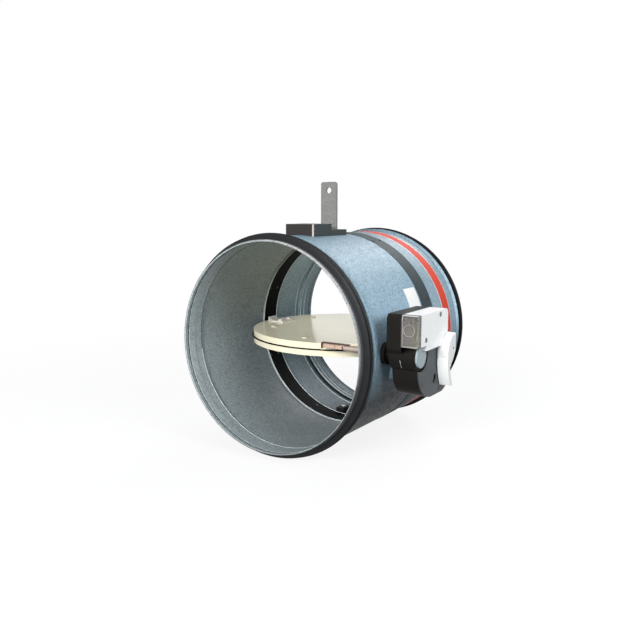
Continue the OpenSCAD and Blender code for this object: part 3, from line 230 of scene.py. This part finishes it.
def graded(t, coords, axis, stretch, stops):
    """Colour by place along an axis, with the stops spread over a stretch in millimetres."""
    start, stop = stretch
    return ramp(t, from_range(t, along_axis(t, coords, axis), start * mm, stop * mm), stops)


def near_point(t, coords, centre, radius):
    """1 within the radius of a point of the object's own frame, both in millimetres."""
    m = t.nodes.new("ShaderNodeVectorMath")
    m.operation = "DISTANCE"
    m.inputs[1].default_value = tuple(c * mm for c in centre)
    t.links.new(coords.outputs["Object"], m.inputs[0])
    return maths(t, "LESS_THAN", m.outputs["Value"], radius * mm)


def faces_front(t):
    """1 where the surface faces the front of the duct, in the object's own frame."""
    geo = t.nodes.new("ShaderNodeNewGeometry")
    turn = t.nodes.new("ShaderNodeVectorTransform")
    turn.vector_type = "NORMAL"
    turn.convert_from = "WORLD"
    turn.convert_to = "OBJECT"
    t.links.new(geo.outputs["True Normal"], turn.inputs["Vector"])
    split = t.nodes.new("ShaderNodeSeparateXYZ")
    t.links.new(turn.outputs["Vector"], split.inputs["Vector"])
    front_limit = -0.5
    return maths(t, "LESS_THAN", split.outputs[Y], front_limit)


def faces_outward(t, coords):
    """1 where the surface of a sleeve faces away from the duct's axis or along it."""
    geo = t.nodes.new("ShaderNodeNewGeometry")
    across = t.nodes.new("ShaderNodeVectorMath")
    across.operation = "MULTIPLY"
    across.inputs[1].default_value = (1, 0, 1)
    t.links.new(coords.outputs["Object"], across.inputs[0])
    facing = t.nodes.new("ShaderNodeVectorMath")
    facing.operation = "DOT_PRODUCT"
    t.links.new(across.outputs["Vector"], facing.inputs[0])
    t.links.new(geo.outputs["True Normal"], facing.inputs[1])
    inward_limit = -0.01
    return maths(t, "GREATER_THAN", facing.outputs["Value"], inward_limit)


def seen_directly(t):
    """1 for what the camera sees, straight, by a reflection or through glass, and 0 for what only lights."""
    path = t.nodes.new("ShaderNodeLightPath")
    total = path.outputs["Is Camera Ray"]
    for name in ("Is Glossy Ray", "Is Transmission Ray"):
        total = maths(t, "MAXIMUM", total, path.outputs[name])
    return total


def bump(t, bsdf, height, strength, depth, soft_edge=None):
    """Relief of a depth in metres and, where soft_edge is given, edges rounded by that radius."""
    b = t.nodes.new("ShaderNodeBump")
    b.inputs["Strength"].default_value = strength
    b.inputs["Distance"].default_value = depth
    t.links.new(height, b.inputs["Height"])
    if soft_edge:
        e = t.nodes.new("ShaderNodeBevel")
        e.samples = 4
        e.inputs["Radius"].default_value = soft_edge
        t.links.new(e.outputs["Normal"], b.inputs["Normal"])
    t.links.new(b.outputs["Normal"], bsdf.inputs["Normal"])


def cloudy(t, coords, colour, tone, scale, detail, spread):
    """A colour that drifts darker and paler by the share tone, over clouds of a scale."""
    darker = tuple(c * (1 - tone) for c in colour)
    paler = tuple(min(1.0, c * (1 + tone)) for c in colour)
    clouds = noise(t, coords, scale, detail)
    return ramp(t, clouds.outputs["Fac"], [(0.5 - spread, darker), (0.5 + spread, paler)])


def grained(t, bsdf, fine, rough):
    """Roughness between two values, by a fine noise."""
    smooth, coarse = rough
    t.links.new(ramp(t, fine.outputs["Fac"], [(0.3, smooth), (0.7, coarse)]), bsdf.inputs["Roughness"])


# backdrop that shows white and lights softly

def studio_world():
    world = bpy.data.worlds.new("studio")
    scene.world = world
    world.use_nodes = True
    t = world.node_tree
    t.nodes.clear()
    coords = t.nodes.new("ShaderNodeTexCoord")
    split = t.nodes.new("ShaderNodeSeparateXYZ")
    t.links.new(coords.outputs["Generated"], split.inputs["Vector"])
    lighting = t.nodes.new("ShaderNodeBackground")
    sky = ramp(t, split.outputs["Z"], [(0.0, (0.07, 0.074, 0.078)), (1.0, (0.86, 0.93, 1.0))])
    t.links.new(sky, lighting.inputs["Color"])
    lighting.inputs["Strength"].default_value = 0.32
    shown = t.nodes.new("ShaderNodeBackground")
    shown.inputs["Color"].default_value = rgba(1)
    shown.inputs["Strength"].default_value = 1.0
    choice = t.nodes.new("ShaderNodeMixShader")
    t.links.new(seen_directly(t), choice.inputs["Fac"])
    t.links.new(lighting.outputs["Background"], choice.inputs[1])
    t.links.new(shown.outputs["Background"], choice.inputs[2])
    out = t.nodes.new("ShaderNodeOutputWorld")
    t.links.new(choice.outputs["Shader"], out.inputs["Surface"])


studio_world()


# kinds of material

def new_material(name):
    m = bpy.data.materials.new(name)
    m.use_nodes = True
    t = m.node_tree
    t.nodes.clear()
    out = t.nodes.new("ShaderNodeOutputMaterial")
    bsdf = t.nodes.new("ShaderNodeBsdfPrincipled")
    t.links.new(bsdf.outputs["BSDF"], out.inputs["Surface"])
    coords = t.nodes.new("ShaderNodeTexCoord")
    return m, t, bsdf, coords


def plastic(name, colour, tone=0.12, rough=(0.35, 0.5), grain=900.0, depth=0.00006, coat=0.0,
            soft_edge=0.0006, worn=None, shine=0.5):
    """Moulded plastic: cloudy tone, fine grain, softened edges and, where asked, paler worn edges."""
    m, t, bsdf, coords = new_material(name)
    base = cloudy(t, coords, colour, tone, scale=14.0, detail=3, spread=0.2)
    if worn:
        geo = t.nodes.new("ShaderNodeNewGeometry")
        edge = ramp(t, geo.outputs["Pointiness"], [(0.515, 0), (0.56, 1)])
        base = mix_colour(t, edge, base, worn)
    t.links.new(base, bsdf.inputs["Base Color"])
    fine = noise(t, coords, scale=grain, detail=2)
    grained(t, bsdf, fine, rough)
    bsdf.inputs["Specular IOR Level"].default_value = shine
    bsdf.inputs["Coat Weight"].default_value = coat
    bsdf.inputs["Coat Roughness"].default_value = 0.12
    bump(t, bsdf, fine.outputs["Fac"], strength=0.6, depth=depth, soft_edge=soft_edge)
    return m


def metal(name, colour, rough=(0.3, 0.45), metallic=1.0, stretch=None):
    """Plated or bare metal: cloudy tone, softened edges and a fine grain, drawn out where stretch asks."""
    m, t, bsdf, coords = new_material(name)
    base = cloudy(t, coords, colour, tone=0.1, scale=40.0, detail=4, spread=0.15)
    t.links.new(base, bsdf.inputs["Base Color"])
    fine = noise(t, coords, scale=500.0, detail=3)
    if stretch:
        mapping = t.nodes.new("ShaderNodeMapping")
        mapping.inputs["Scale"].default_value = stretch
        t.links.new(coords.outputs["Object"], mapping.inputs["Vector"])
        t.links.new(mapping.outputs["Vector"], fine.inputs["Vector"])
    grained(t, bsdf, fine, rough)
    bsdf.inputs["Metallic"].default_value = metallic
    bump(t, bsdf, fine.outputs["Fac"], strength=0.5, depth=0.00003, soft_edge=0.0003)
    return m


def clear_plastic(name, darker, paler, rough):
    """Clear moulding that is slightly cloudy between two tints."""
    m, t, bsdf, coords = new_material(name)
    clouds = noise(t, coords, scale=30.0, detail=3)
    t.links.new(ramp(t, clouds.outputs["Fac"], [(0.3, darker), (0.7, paler)]), bsdf.inputs["Base Color"])
    fine = noise(t, coords, scale=500.0, detail=2)
    grained(t, bsdf, fine, rough)
    bsdf.inputs["Transmission Weight"].default_value = 0.95
    bsdf.inputs["IOR"].default_value = 1.49
    bump(t, bsdf, fine.outputs["Fac"], strength=0.3, depth=0.00002, soft_edge=0.0005)
    return m


def galvanised(name, light, dark, cells=260.0, spots=0.9, by_place=None):
    """Zinc coat: small flat crystals of differing tone and gloss under a frosty speckle.

    by_place, where given, is a function of (tree, coords, colour) that grades the colour by place.
    """
    m, t, bsdf, coords = new_material(name)
    crystals = t.nodes.new("ShaderNodeTexVoronoi")
    crystals.inputs["Scale"].default_value = cells
    crystals.inputs["Randomness"].default_value = 1.0
    warp = noise(t, coords, scale=90.0, detail=3)
    shifted = mix_colour(t, 0.004, coords.outputs["Object"], warp.outputs["Color"])
    t.links.new(shifted, crystals.inputs["Vector"])
    each = t.nodes.new("ShaderNodeSeparateColor")
    t.links.new(crystals.outputs["Color"], each.inputs["Color"])
    base = ramp(t, each.outputs["Red"], [(0.0, dark), (1.0, light)])
    if by_place:
        base = by_place(t, coords, base)
    speckle = noise(t, coords, scale=420.0, detail=5, rough=0.8)
    base = darkened(t, base, ramp(t, speckle.outputs["Fac"], [(0.4, 0.5), (0.5, 0.85), (0.6, 1.0)]), spots)
    clouds = noise(t, coords, scale=9.0, detail=3)
    base = darkened(t, base, ramp(t, clouds.outputs["Fac"], [(0.3, 0.92), (0.7, 1.0)]))
    t.links.new(base, bsdf.inputs["Base Color"])
    t.links.new(ramp(t, each.outputs["Green"], [(0.0, 0.42), (1.0, 0.58)]), bsdf.inputs["Roughness"])
    bsdf.inputs["Metallic"].default_value = 0.06
    bsdf.inputs["Specular IOR Level"].default_value = 0.08
    bump(t, bsdf, speckle.outputs["Fac"], strength=0.35, depth=0.00008)
    return m


# Places on the sleeves in millimetres: the end outside that is painted dark as painted shade, its rim with a
# painted highlight, and the stretches over which the painted light and shade change
shaded_end_length = 11
rim_highlight_width = 4
outside_heights = (-150, 160)
inside_heights = (-150, 120)
inside_depths = (-200, -60)
rim_shade_sides = (-100, 30)


def sleeve_painted_light(mouth, inward, inside, under):
    """Function that paints light and shade into a sleeve's colour by place, for galvanised.

    mouth is the sleeve's open end along the duct, and inward is the way from there into the sleeve, 1 or -1.
    inside multiplies the colour of the inner face as painted light, and under darkens its lowest part once
    more as painted shade. The outer face gets painted shade underneath, on top and at its end near the
    mouth, and its rim a painted highlight that is itself painted darker low down and on the left.
    """
    # Painted light and shade: the inner face lighter on top and darker low down and deeper in, the outer
    # face darker underneath and on top
    inner_light_by_height = [(0.0, under), (0.5, (1 + under) / 2), (1.0, 1.0)]
    inner_shade_by_depth = [(0.0, 1.0), (1.0, 0.66)]
    outer_shade_by_height = [(0.0, 0.03), (0.26, 0.06), (0.48, 0.85), (0.64, 0.98), (1.0, 0.62)]
    # Painted shade on the outer end near the mouth, and a painted highlight on the rim, darker low down and
    # on the left
    end_painted_shade_colour = (0.1, 0.105, 0.115)
    rim_highlight_by_height = [(0.0, 0.05), (0.35, 0.09), (0.7, 0.42)]
    rim_shade_by_side = [(0.0, 0.15), (1.0, 1.0)]

    def grade(t, coords, colour):
        outside = faces_outward(t, coords)
        inner = darkened(t, colour, inside)
        inner = darkened(t, inner, graded(t, coords, Z, inside_heights, inner_light_by_height))
        inner = darkened(t, inner, graded(t, coords, Y, inside_depths, inner_shade_by_depth))
        outer = darkened(t, colour, graded(t, coords, Z, outside_heights, outer_shade_by_height))
        shaded_end = past(t, coords, Y, mouth + inward * shaded_end_length, -inward)
        outer = mix_colour(t, shaded_end, outer, end_painted_shade_colour)
        pale = darkened(t, graded(t, coords, Z, outside_heights, rim_highlight_by_height),
                        graded(t, coords, X, rim_shade_sides, rim_shade_by_side))
        rim = past(t, coords, Y, mouth + inward * rim_highlight_width, -inward)
        outer = mix_colour(t, rim, outer, pale)
        return mix_colour(t, outside, inner, outer)

    return grade


def retone(m, pick, colour):
    """Gives part of a finished material another colour where pick(tree, coords) is 1."""
    t = m.node_tree
    bsdf = next(n for n in t.nodes if n.type == "BSDF_PRINCIPLED")
    coords = next(n for n in t.nodes if n.type == "TEX_COORD")
    was = bsdf.inputs["Base Color"].links[0].from_socket
    t.links.new(mix_colour(t, pick(t, coords), was, colour), bsdf.inputs["Base Color"])


def spot(m, centre, radius, colour):
    """Gives a finished material another colour round a point, in millimetres."""
    retone(m, lambda t, coords: near_point(t, coords, centre, radius), colour)


# galvanised sheet and metals

# The inner faces of the sleeves are painted lighter as painted light, with painted shade on their lowest
# parts
zinc_sheet = galvanised("galvanised_sheet", (0.42, 0.6, 0.73), (0.35, 0.5, 0.61),
                        by_place=sleeve_painted_light(front_mouth, 1, inside=(1.56, 1.25, 1.07), under=0.55))
zinc_rear = galvanised("galvanised_rear", (0.4, 0.55, 0.65), (0.33, 0.46, 0.55),
                       by_place=sleeve_painted_light(rear_mouth, -1, inside=(2.1, 2.0, 1.95), under=0.2))
zinc_plate = galvanised("galvanised_plate", (0.25, 0.247, 0.237), (0.21, 0.207, 0.2), cells=330.0, spots=0.3)
zinc_part = metal("zinc_plated", (0.62, 0.63, 0.65), stretch=(1, 1, 9))
dull_zinc = metal("dull_zinc", (0.62, 0.6, 0.54), rough=(0.5, 0.65), metallic=0.2)
nickel = metal("nickel_grey", (0.2, 0.21, 0.22), rough=(0.35, 0.5))
bronze = metal("sintered_bronze", (0.42, 0.28, 0.12), rough=(0.45, 0.6))
browned = metal("browned_bronze", (0.12, 0.055, 0.035), rough=(0.4, 0.55), metallic=0.6)
rosy = metal("rosy_brass", (0.42, 0.34, 0.3), rough=(0.4, 0.55), metallic=0.3)
copper = metal("tinned_copper", (0.52, 0.38, 0.3), rough=(0.4, 0.55), metallic=0.6)
spring_steel = metal("spring_steel", (0.3, 0.3, 0.31), rough=(0.28, 0.4))


# blade, ring, gaskets and tape

board = plastic("blade_board", (0.88, 0.82, 0.62), tone=0.03, rough=(0.1, 0.2), grain=260.0, depth=0.00003,
                soft_edge=0.0005)
bolt_cream = plastic("bolt_cream", (0.56, 0.52, 0.4), tone=0.05, rough=(0.4, 0.5), shine=0.3)
ring_grey = plastic("insulating_ring", (0.3, 0.32, 0.33), tone=0.1, rough=(0.6, 0.8), grain=700.0,
                    depth=0.00015)
strip_black = plastic("swelling_strip", (0.0045, 0.0052, 0.0055), tone=0.3, rough=(0.5, 0.7), grain=500.0,
                      depth=0.00015, shine=0.02)
band_grey = plastic("joint_band", (0.045, 0.06, 0.066), rough=(0.5, 0.65), grain=400.0, depth=0.00008,
                    shine=0.05)
rubber = plastic("gasket_rubber", (0.012, 0.013, 0.014), tone=0.25, rough=(0.4, 0.58), grain=700.0,
                 depth=0.0001, soft_edge=0.0004, shine=0.12)
tape_red = plastic("wall_limit_tape", (0.66, 0.075, 0.045), tone=0.1, rough=(0.5, 0.65), grain=350.0,
                   depth=0.00005, shine=0.04)
film_white = plastic("blank_film", (0.86, 0.86, 0.85), tone=0.04, rough=(0.3, 0.42), grain=300.0,
                     depth=0.00003)


# mouldings of the mechanism and of the hanger

black = plastic("black_moulding", (0.0032, 0.0028, 0.0022), tone=0.2, rough=(0.3, 0.44), grain=1100.0,
                depth=0.00005, worn=(0.014, 0.013, 0.012), shine=0.02)
hanger_black = plastic("hanger_moulding", (0.03, 0.04, 0.042), tone=0.2, rough=(0.4, 0.55), shine=0.25)
slate = plastic("slate_plate", (0.052, 0.062, 0.068), rough=(0.34, 0.46), grain=800.0, shine=0.25)
glossy = dict(tone=0.02, rough=(0.22, 0.34), grain=700.0, depth=0.00003, coat=0.3)
white = plastic("white_moulding", (0.93, 0.94, 0.94), **glossy)
lever_white = plastic("lever_white", (0.8, 0.81, 0.81), **glossy)
button = plastic("button_grey", (0.33, 0.4, 0.43), tone=0.06, rough=(0.3, 0.44), shine=0.3)
cream = plastic("cream_moulding", (0.6, 0.55, 0.4), tone=0.06, rough=(0.3, 0.45))
green = plastic("terminal_green", (0.27, 0.36, 0.1), tone=0.2)
circuit = plastic("switch_plate", (0.03, 0.1, 0.05), tone=0.15, rough=(0.3, 0.45))
clear = clear_plastic("clear_cover", darker=(0.66, 0.63, 0.61), paler=(0.76, 0.73, 0.7), rough=(0.06, 0.14))


# painted lines of light and shade, painted edge highlights, and the sheet of painted shade

# Painted shade for the dark lines and painted highlights for the pale ones, on the inner walls
pale_sheet = dict(colour=(0.7, 0.76, 0.78), tone=0.2, rough=(0.45, 0.6), shine=0.2)
painted_shade_line = plastic("painted_shade_line", (0.02, 0.023, 0.025), tone=0.2, rough=(0.5, 0.65), shine=0.1)
painted_highlight_line = plastic("painted_highlight_line", **pale_sheet)
lap_highlight_and_shade = plastic("lap_highlight_and_shade", **pale_sheet)
# Grey-brown sheet of painted shade on the front of the terminal block
shade_card = plastic("terminal_shade_card", (0.2, 0.186, 0.176), rough=(0.5, 0.65), shine=0.2)
# Painted highlight on the edges and fine lines of the clear end and of the nose
edge_highlight = plastic("painted_edge_highlight", (0.5, 0.52, 0.5), tone=0.08, rough=(0.3, 0.45), shine=0.3)


# tones of small places, most of them painted shade and highlights, in millimetres

# The lap's edge carries a painted highlight in the bottom of the duct and painted shade above
lap_highlight_top = -20
retone(lap_highlight_and_shade, lambda t, coords: past(t, coords, Z, lap_highlight_top), (0.05, 0.056, 0.056))

# The block behind the clear end is painted grey-brown on its front, as painted shade for the shaded inside
# of the white cover, and stays green beside
block_side_depth = 0.3
retone(green, lambda t, coords: past(t, coords, X, block_right - block_side_depth, -1), (0.17, 0.158, 0.15))

# The hanger's front is painted darker and browner than its sides as painted shade, and the corner towards
# the viewer carries a painted highlight
highlight_corner_width = 2.2
highlight_corner_depth = 1.5


def highlight_corner(t, coords):
    return both(t, past(t, coords, X, hanger_right - highlight_corner_width),
                past(t, coords, Y, hanger_front + highlight_corner_depth, -1))


retone(hanger_black, lambda t, coords: faces_front(t), (0.024, 0.021, 0.019))
retone(hanger_black, highlight_corner, (0.42, 0.4, 0.36))

# Painted shade round the key slot in the faceplate, as a dark mouth which leans to the front as it goes down
key_slot_shade_r = 3.2
key_slot_places = ((-110.5, -35.0), (-112.8, -39.0))
for y, z in key_slot_places:
    spot(slate, (faceplate_right, y, z), key_slot_shade_r, (0.008, 0.008, 0.009))

# Painted shade in a small hole in the lever's grip, and two nicks in the edge next to the faceplate painted
# in other tones
lever_marks = (
    ((lever_right, -88.0, 5.1), 1.7, (0.05, 0.05, 0.055)),
    ((lever_left, -99.5, -4.7), 2.2, (0.12, 0.12, 0.125)),
    ((lever_left, -79.0, 21.5), 2.0, (0.42, 0.33, 0.34)))
for centre, radius, colour in lever_marks:
    spot(lever_white, centre, radius, colour)


# finishes of the CAD nodes

finishes = {
    zinc_sheet: ["front_sleeve", "mounting_saddle"],
    zinc_rear: ["rear_sleeve"],
    zinc_plate: ["hanger_lug"],
    zinc_part: ["stop_screw", "hanger_screws", "saddle_screws", "blade_drive_pin", "crank_arm", "crank_pin",
                "link_rod", "lever_shaft", "lever_pin", "latch_lever", "latch_pin"],
    dull_zinc: ["bracket_screws", "drive_bracket", "pivot_bracket"],
    nickel: ["cover_screws"],
    bronze: ["near_axle_bush", "far_axle_bush", "tunnel_bush"],
    browned: ["fuse_cage", "trip_pin"],
    rosy: ["fuse_tube"],
    copper: ["fusible_link"],
    spring_steel: ["closing_spring", "trip_spring"],
    board: ["upper_board", "lower_board"],
    bolt_cream: ["board_bolts"],
    ring_grey: ["insulating_ring"],
    strip_black: ["swelling_strip", "blade_seal"],
    band_grey: ["joint_band", "joint_rivets", "sleeve_rivets"],
    rubber: ["front_gasket", "rear_gasket"],
    tape_red: ["wall_limit_tape"],
    film_white: ["tape_edges", "blank_label"],
    black: ["blade_stop", "mechanism_housing", "trip_collar", "button_ring", "face_bush", "open_switch",
            "closed_switch"],
    hanger_black: ["hanger_base"],
    slate: ["faceplate", "faceplate_screws"],
    white: ["terminal_cover"],
    lever_white: ["lever"],
    button: ["trip_button"],
    cream: ["control_cam"],
    green: ["terminal_block"],
    circuit: ["switch_plate"],
    clear: ["terminal_window"],
}
for material, names in finishes.items():
    for name in names:
        slots = nodes[name].data.materials
        slots.clear()
        slots.append(material)


# building of pieces

def sweep(name, sections, material, closed=False, smooth=False):
    """Piece of the tunnel swept through sections, each a list of points in millimetres in one order.

    A closed sweep joins its last section to its first, and an open one is capped at both ends.
    """
    verts = [tuple(c * mm for c in point) for section in sections for point in section]
    faces = []
    n, count = len(sections[0]), len(sections)
    for i in range(count if closed else count - 1):
        here, after = i * n, (i + 1) % count * n
        for k in range(n):
            beside = (k + 1) % n
            faces.append((here + k, here + beside, after + beside, after + k))
    if not closed:
        faces.append(tuple(range(n)))
        faces.append(tuple((count - 1) * n + k for k in reversed(range(n))))
    mesh = bpy.data.meshes.new(name)
    mesh.from_pydata(verts, [], faces)
    bm = bmesh.new()
    bm.from_mesh(mesh)
    bmesh.ops.recalc_face_normals(bm, faces=bm.faces)
    bm.to_mesh(mesh)
    bm.free()
    mesh.polygons.foreach_set("use_smooth", [smooth] * len(mesh.polygons))
    obj = bpy.data.objects.new(name, mesh)
    scene.collection.objects.link(obj)
    obj.data.materials.append(material)
    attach(obj, "tunnel")
    return obj


def full_turn(steps):
    return [2 * math.pi * i / steps for i in range(steps)]


def lathe(name, loop, y0, sense, material, steps=240):
    """Ring round the duct's axis from a closed loop of (radius, distance from y0)."""
    sections = [[(r * math.cos(a), y0 + sense * d, r * math.sin(a)) for r, d in loop]
                for a in full_turn(steps)]
    return sweep(name, sections, material, closed=True, smooth=True)


def smooth_loop(points, steps=5):
    """Closed smooth curve through the points."""
    made = []
    n = len(points)
    for i in range(n):
        p0, p1, p2, p3 = (Vector(points[(i + k - 1) % n]) for k in range(4))
        for j in range(steps):
            t = j / steps
            made.append(0.5 * ((2 * p1) + (p2 - p0) * t + (2 * p0 - 5 * p1 + 4 * p2 - p3) * t * t
                               + (3 * p1 - p0 - 3 * p2 + p3) * t ** 3))
    return made


# rubber gaskets of the two spigots

# Section of a gasket as (radius, distance from the mouth): a rounded low lip near the rim, a groove and a
# rounded tall lip, all leaning back
gasket_lips = [
    (152.9, 9.7), (153.9, 9.8), (155.0, 10.6), (157.6, 12.3), (160.2, 13.4), (160.9, 14.1), (160.5, 14.9),
    (158.4, 14.7), (156.4, 14.9), (155.7, 15.8), (156.9, 16.9), (159.6, 18.3), (161.7, 19.2), (162.2, 19.9),
    (161.8, 20.7), (159.4, 20.4), (156.6, 20.5), (154.9, 21.2), (153.8, 21.9), (152.9, 21.9)]
for end, mouth, inward in (("front", front_mouth, 1), ("rear", rear_mouth, -1)):
    ring = lathe(end + "_gasket_rubber", [tuple(p) for p in smooth_loop(gasket_lips)], mouth, inward, rubber)
    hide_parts(end + "_gasket")


# thin lines of painted shade and painted highlights round the inner walls of the duct

# Radii of the walls, a line's height and foot, the shares of its height and half width at its shoulders,
# and places along the duct: depths are measured from the mouths, and the strip's edges from the middle
spigot_bore_r = 151.95
ring_bore_r = 153.0
sleeve_bore_r = 155.25
line_rise = 0.25
line_sunk = 0.1
shoulder_rise_share = 0.6
shoulder_width_share = 0.7
mouth_shade_line_depth = 8
lap_edge_depth = 36.6
strip_edge_y = 17.6
inner_line_depth = 47
middle_line_depth = 34
outer_line_depth = 24


def painted_line(name, r, y, material, half):
    """Low bead on a wall of radius r, with its crest at y and half as its half width."""
    shoulder_r, shoulder_y = r - line_rise * shoulder_rise_share, half * shoulder_width_share
    loop = [(r + line_sunk, -half), (shoulder_r, -shoulder_y), (r - line_rise, 0), (shoulder_r, shoulder_y),
            (r + line_sunk, half)]
    lathe(name, loop, y, 1, material)


# Painted shade just inside each mouth, and painted highlights at the strip's edges and on the rear lines
painted_line("front_mouth_shade_line", spigot_bore_r, front_mouth + mouth_shade_line_depth, painted_shade_line, half=1.1)
painted_line("rear_mouth_shade_line", spigot_bore_r, rear_mouth - mouth_shade_line_depth, painted_shade_line, half=1.1)
# Painted highlight low down and painted shade above, at the lap's edge
painted_line("front_lap_edge_light_and_shade", spigot_bore_r, front_mouth + lap_edge_depth, lap_highlight_and_shade, half=0.7)
painted_line("strip_edge_highlight_front", ring_bore_r, -strip_edge_y, painted_highlight_line, half=0.8)
painted_line("strip_edge_highlight_rear", ring_bore_r, strip_edge_y, painted_highlight_line, half=0.9)
painted_line("rear_highlight_inner", sleeve_bore_r, rear_mouth - inner_line_depth, painted_highlight_line, half=1.2)
painted_line("rear_highlight_middle", spigot_bore_r, rear_mouth - middle_line_depth, painted_highlight_line, half=1.2)
painted_line("rear_highlight_outer", spigot_bore_r, rear_mouth - outer_line_depth, painted_highlight_line, half=1.2)


# details of the clear end and of the nose

def knockout_ring():
    """Ring of the knockout on the clear end's front, pale as a painted highlight."""
    x, z, r, half_width = 204.35, 40.0, 7.7, 0.4
    shoulder, back = window_front + 0.1, window_front + 0.6
    section = ((r - half_width, shoulder), (r, window_front), (r + half_width, shoulder), (r, back))
    sections = [[(x + radius * math.cos(a), y, z + radius * math.sin(a)) for radius, y in section]
                for a in full_turn(48)]
    sweep("knockout_ring", sections, edge_highlight, closed=True)


def window_edge():
    """Painted highlight round three sides of the clear end's front."""
    left, top, bottom, width = 195.2, 58.9, 18.6, 0.9
    inner_y, outer_y, back_y = (window_front + depth for depth in (0.05, 0.01, 0.7))
    sections = []
    for x, z, way_x, way_z in ((window_right, top, 0, 1), (left, top, -1, 1), (left, bottom, -1, -1),
                               (window_right, bottom, 0, -1)):
        out_x, out_z = x + way_x * width, z + way_z * width
        sections.append([(x, inner_y, z), (out_x, outer_y, out_z), (out_x, back_y, out_z), (x, back_y, z)])
    sweep("window_edge", sections, edge_highlight)


def window_side_edge():
    """Painted highlight as a pale line on the right side of the clear end, where it meets the white cover.
    """
    thickness, width, from_back = 0.7, 1.2, 0.2
    heights = (18.2, 30.0, 45.0, 58.4)
    x0, x1 = window_right - thickness, window_right
    y0, y1 = window_back - from_back - width, window_back - from_back
    sections = [[(x0, y0, z), (x1, y0, z), (x1, y1, z), (x0, y1, z)] for z in heights]
    sweep("window_side_edge", sections, edge_highlight)


def terminal_shade_card():
    """Grey-brown sheet with a bent edge on the front of the terminal block, as painted shade for the shaded
    inside of the white cover seen through the clear end.
    """
    left, bottom, top = 196.2, 20.6, 57.4
    bend, bend_height, thickness = 0.4, 0.8, 0.3
    front_y, bent_y = block_front - 0.65, block_front + 0.05
    sections = []
    for d in (0.0, thickness):
        x, y = block_right - bend - d, front_y + d
        low, high = bottom + bend_height + d, top - bend_height - d
        sections.append([(left, y, bottom), (x, y, bottom), (block_right, bent_y, low),
                         (block_right, bent_y, high), (x, y, top), (left, y, top)])
    sweep("terminal_shade_card", sections, shade_card)


def nose_line():
    """Fine parting line down the nose of the mechanism, pale as a painted highlight."""
    sunk_r, proud_r = nose_r - 0.2, nose_r + 0.35
    foot, crest = 0.35, 0.2
    section = ((-foot, sunk_r), (-crest, proud_r), (crest, proud_r), (foot, sunk_r))
    # Places of the line as x and the angle from the nose's front
    places = ((188.6, -7.6), (188.9, -18.1), (188.9, -32.6), (188.8, -46.6))
    sections = []
    for x, degrees in places:
        a = math.radians(degrees)
        sections.append([(x + dx, nose_y - r * math.cos(a), nose_z + r * math.sin(a)) for dx, r in section])
    sweep("nose_line", sections, edge_highlight)


knockout_ring()
window_edge()
window_side_edge()
terminal_shade_card()
nose_line()


# floor, in metres

floor_r = 1.2
floor_sides = 64
floor_gap = 0.0005
fade_start, fade_end = 0.45, 1.1


def floor_material():
    """Pale floor that lights little and fades away from the middle."""
    m, t, bsdf, coords = new_material("pale_floor")
    clouds = noise(t, coords, scale=3.0, detail=3)
    tint = ramp(t, clouds.outputs["Fac"], [(0.3, 0.9), (0.7, 0.94)])
    seen = seen_directly(t)
    t.links.new(mix_colour(t, seen, 0.12, tint), bsdf.inputs["Base Color"])
    bsdf.inputs["Roughness"].default_value = 0.9
    bsdf.inputs["Specular IOR Level"].default_value = 0.1
    glow = t.nodes.new("ShaderNodeEmission")
    glow.inputs["Strength"].default_value = 1.0
    glow_share = 0.85
    lit = t.nodes.new("ShaderNodeMixShader")
    t.links.new(maths(t, "MULTIPLY", seen, glow_share), lit.inputs["Fac"])
    t.links.new(bsdf.outputs["BSDF"], lit.inputs[1])
    t.links.new(glow.outputs["Emission"], lit.inputs[2])
    far = t.nodes.new("ShaderNodeVectorMath")
    far.operation = "LENGTH"
    t.links.new(coords.outputs["Object"], far.inputs[0])
    nothing = t.nodes.new("ShaderNodeBsdfTransparent")
    whole = t.nodes.new("ShaderNodeMixShader")
    t.links.new(from_range(t, far.outputs["Value"], fade_start, fade_end), whole.inputs["Fac"])
    t.links.new(lit.outputs["Shader"], whole.inputs[1])
    t.links.new(nothing.outputs["BSDF"], whole.inputs[2])
    t.links.new(whole.outputs["Shader"], t.nodes["Material Output"].inputs["Surface"])
    return m


def floor():
    """Round floor that fades into the white backdrop and keeps a soft shadow."""
    z = cad_box[0][Z] - floor_gap
    rim = [(floor_r * math.cos(a), floor_r * math.sin(a), z) for a in full_turn(floor_sides)]
    mesh = bpy.data.meshes.new("floor")
    mesh.from_pydata(rim, [], [tuple(range(floor_sides))])
    obj = bpy.data.objects.new("floor", mesh)
    scene.collection.objects.link(obj)
    obj.data.materials.append(floor_material())


floor()
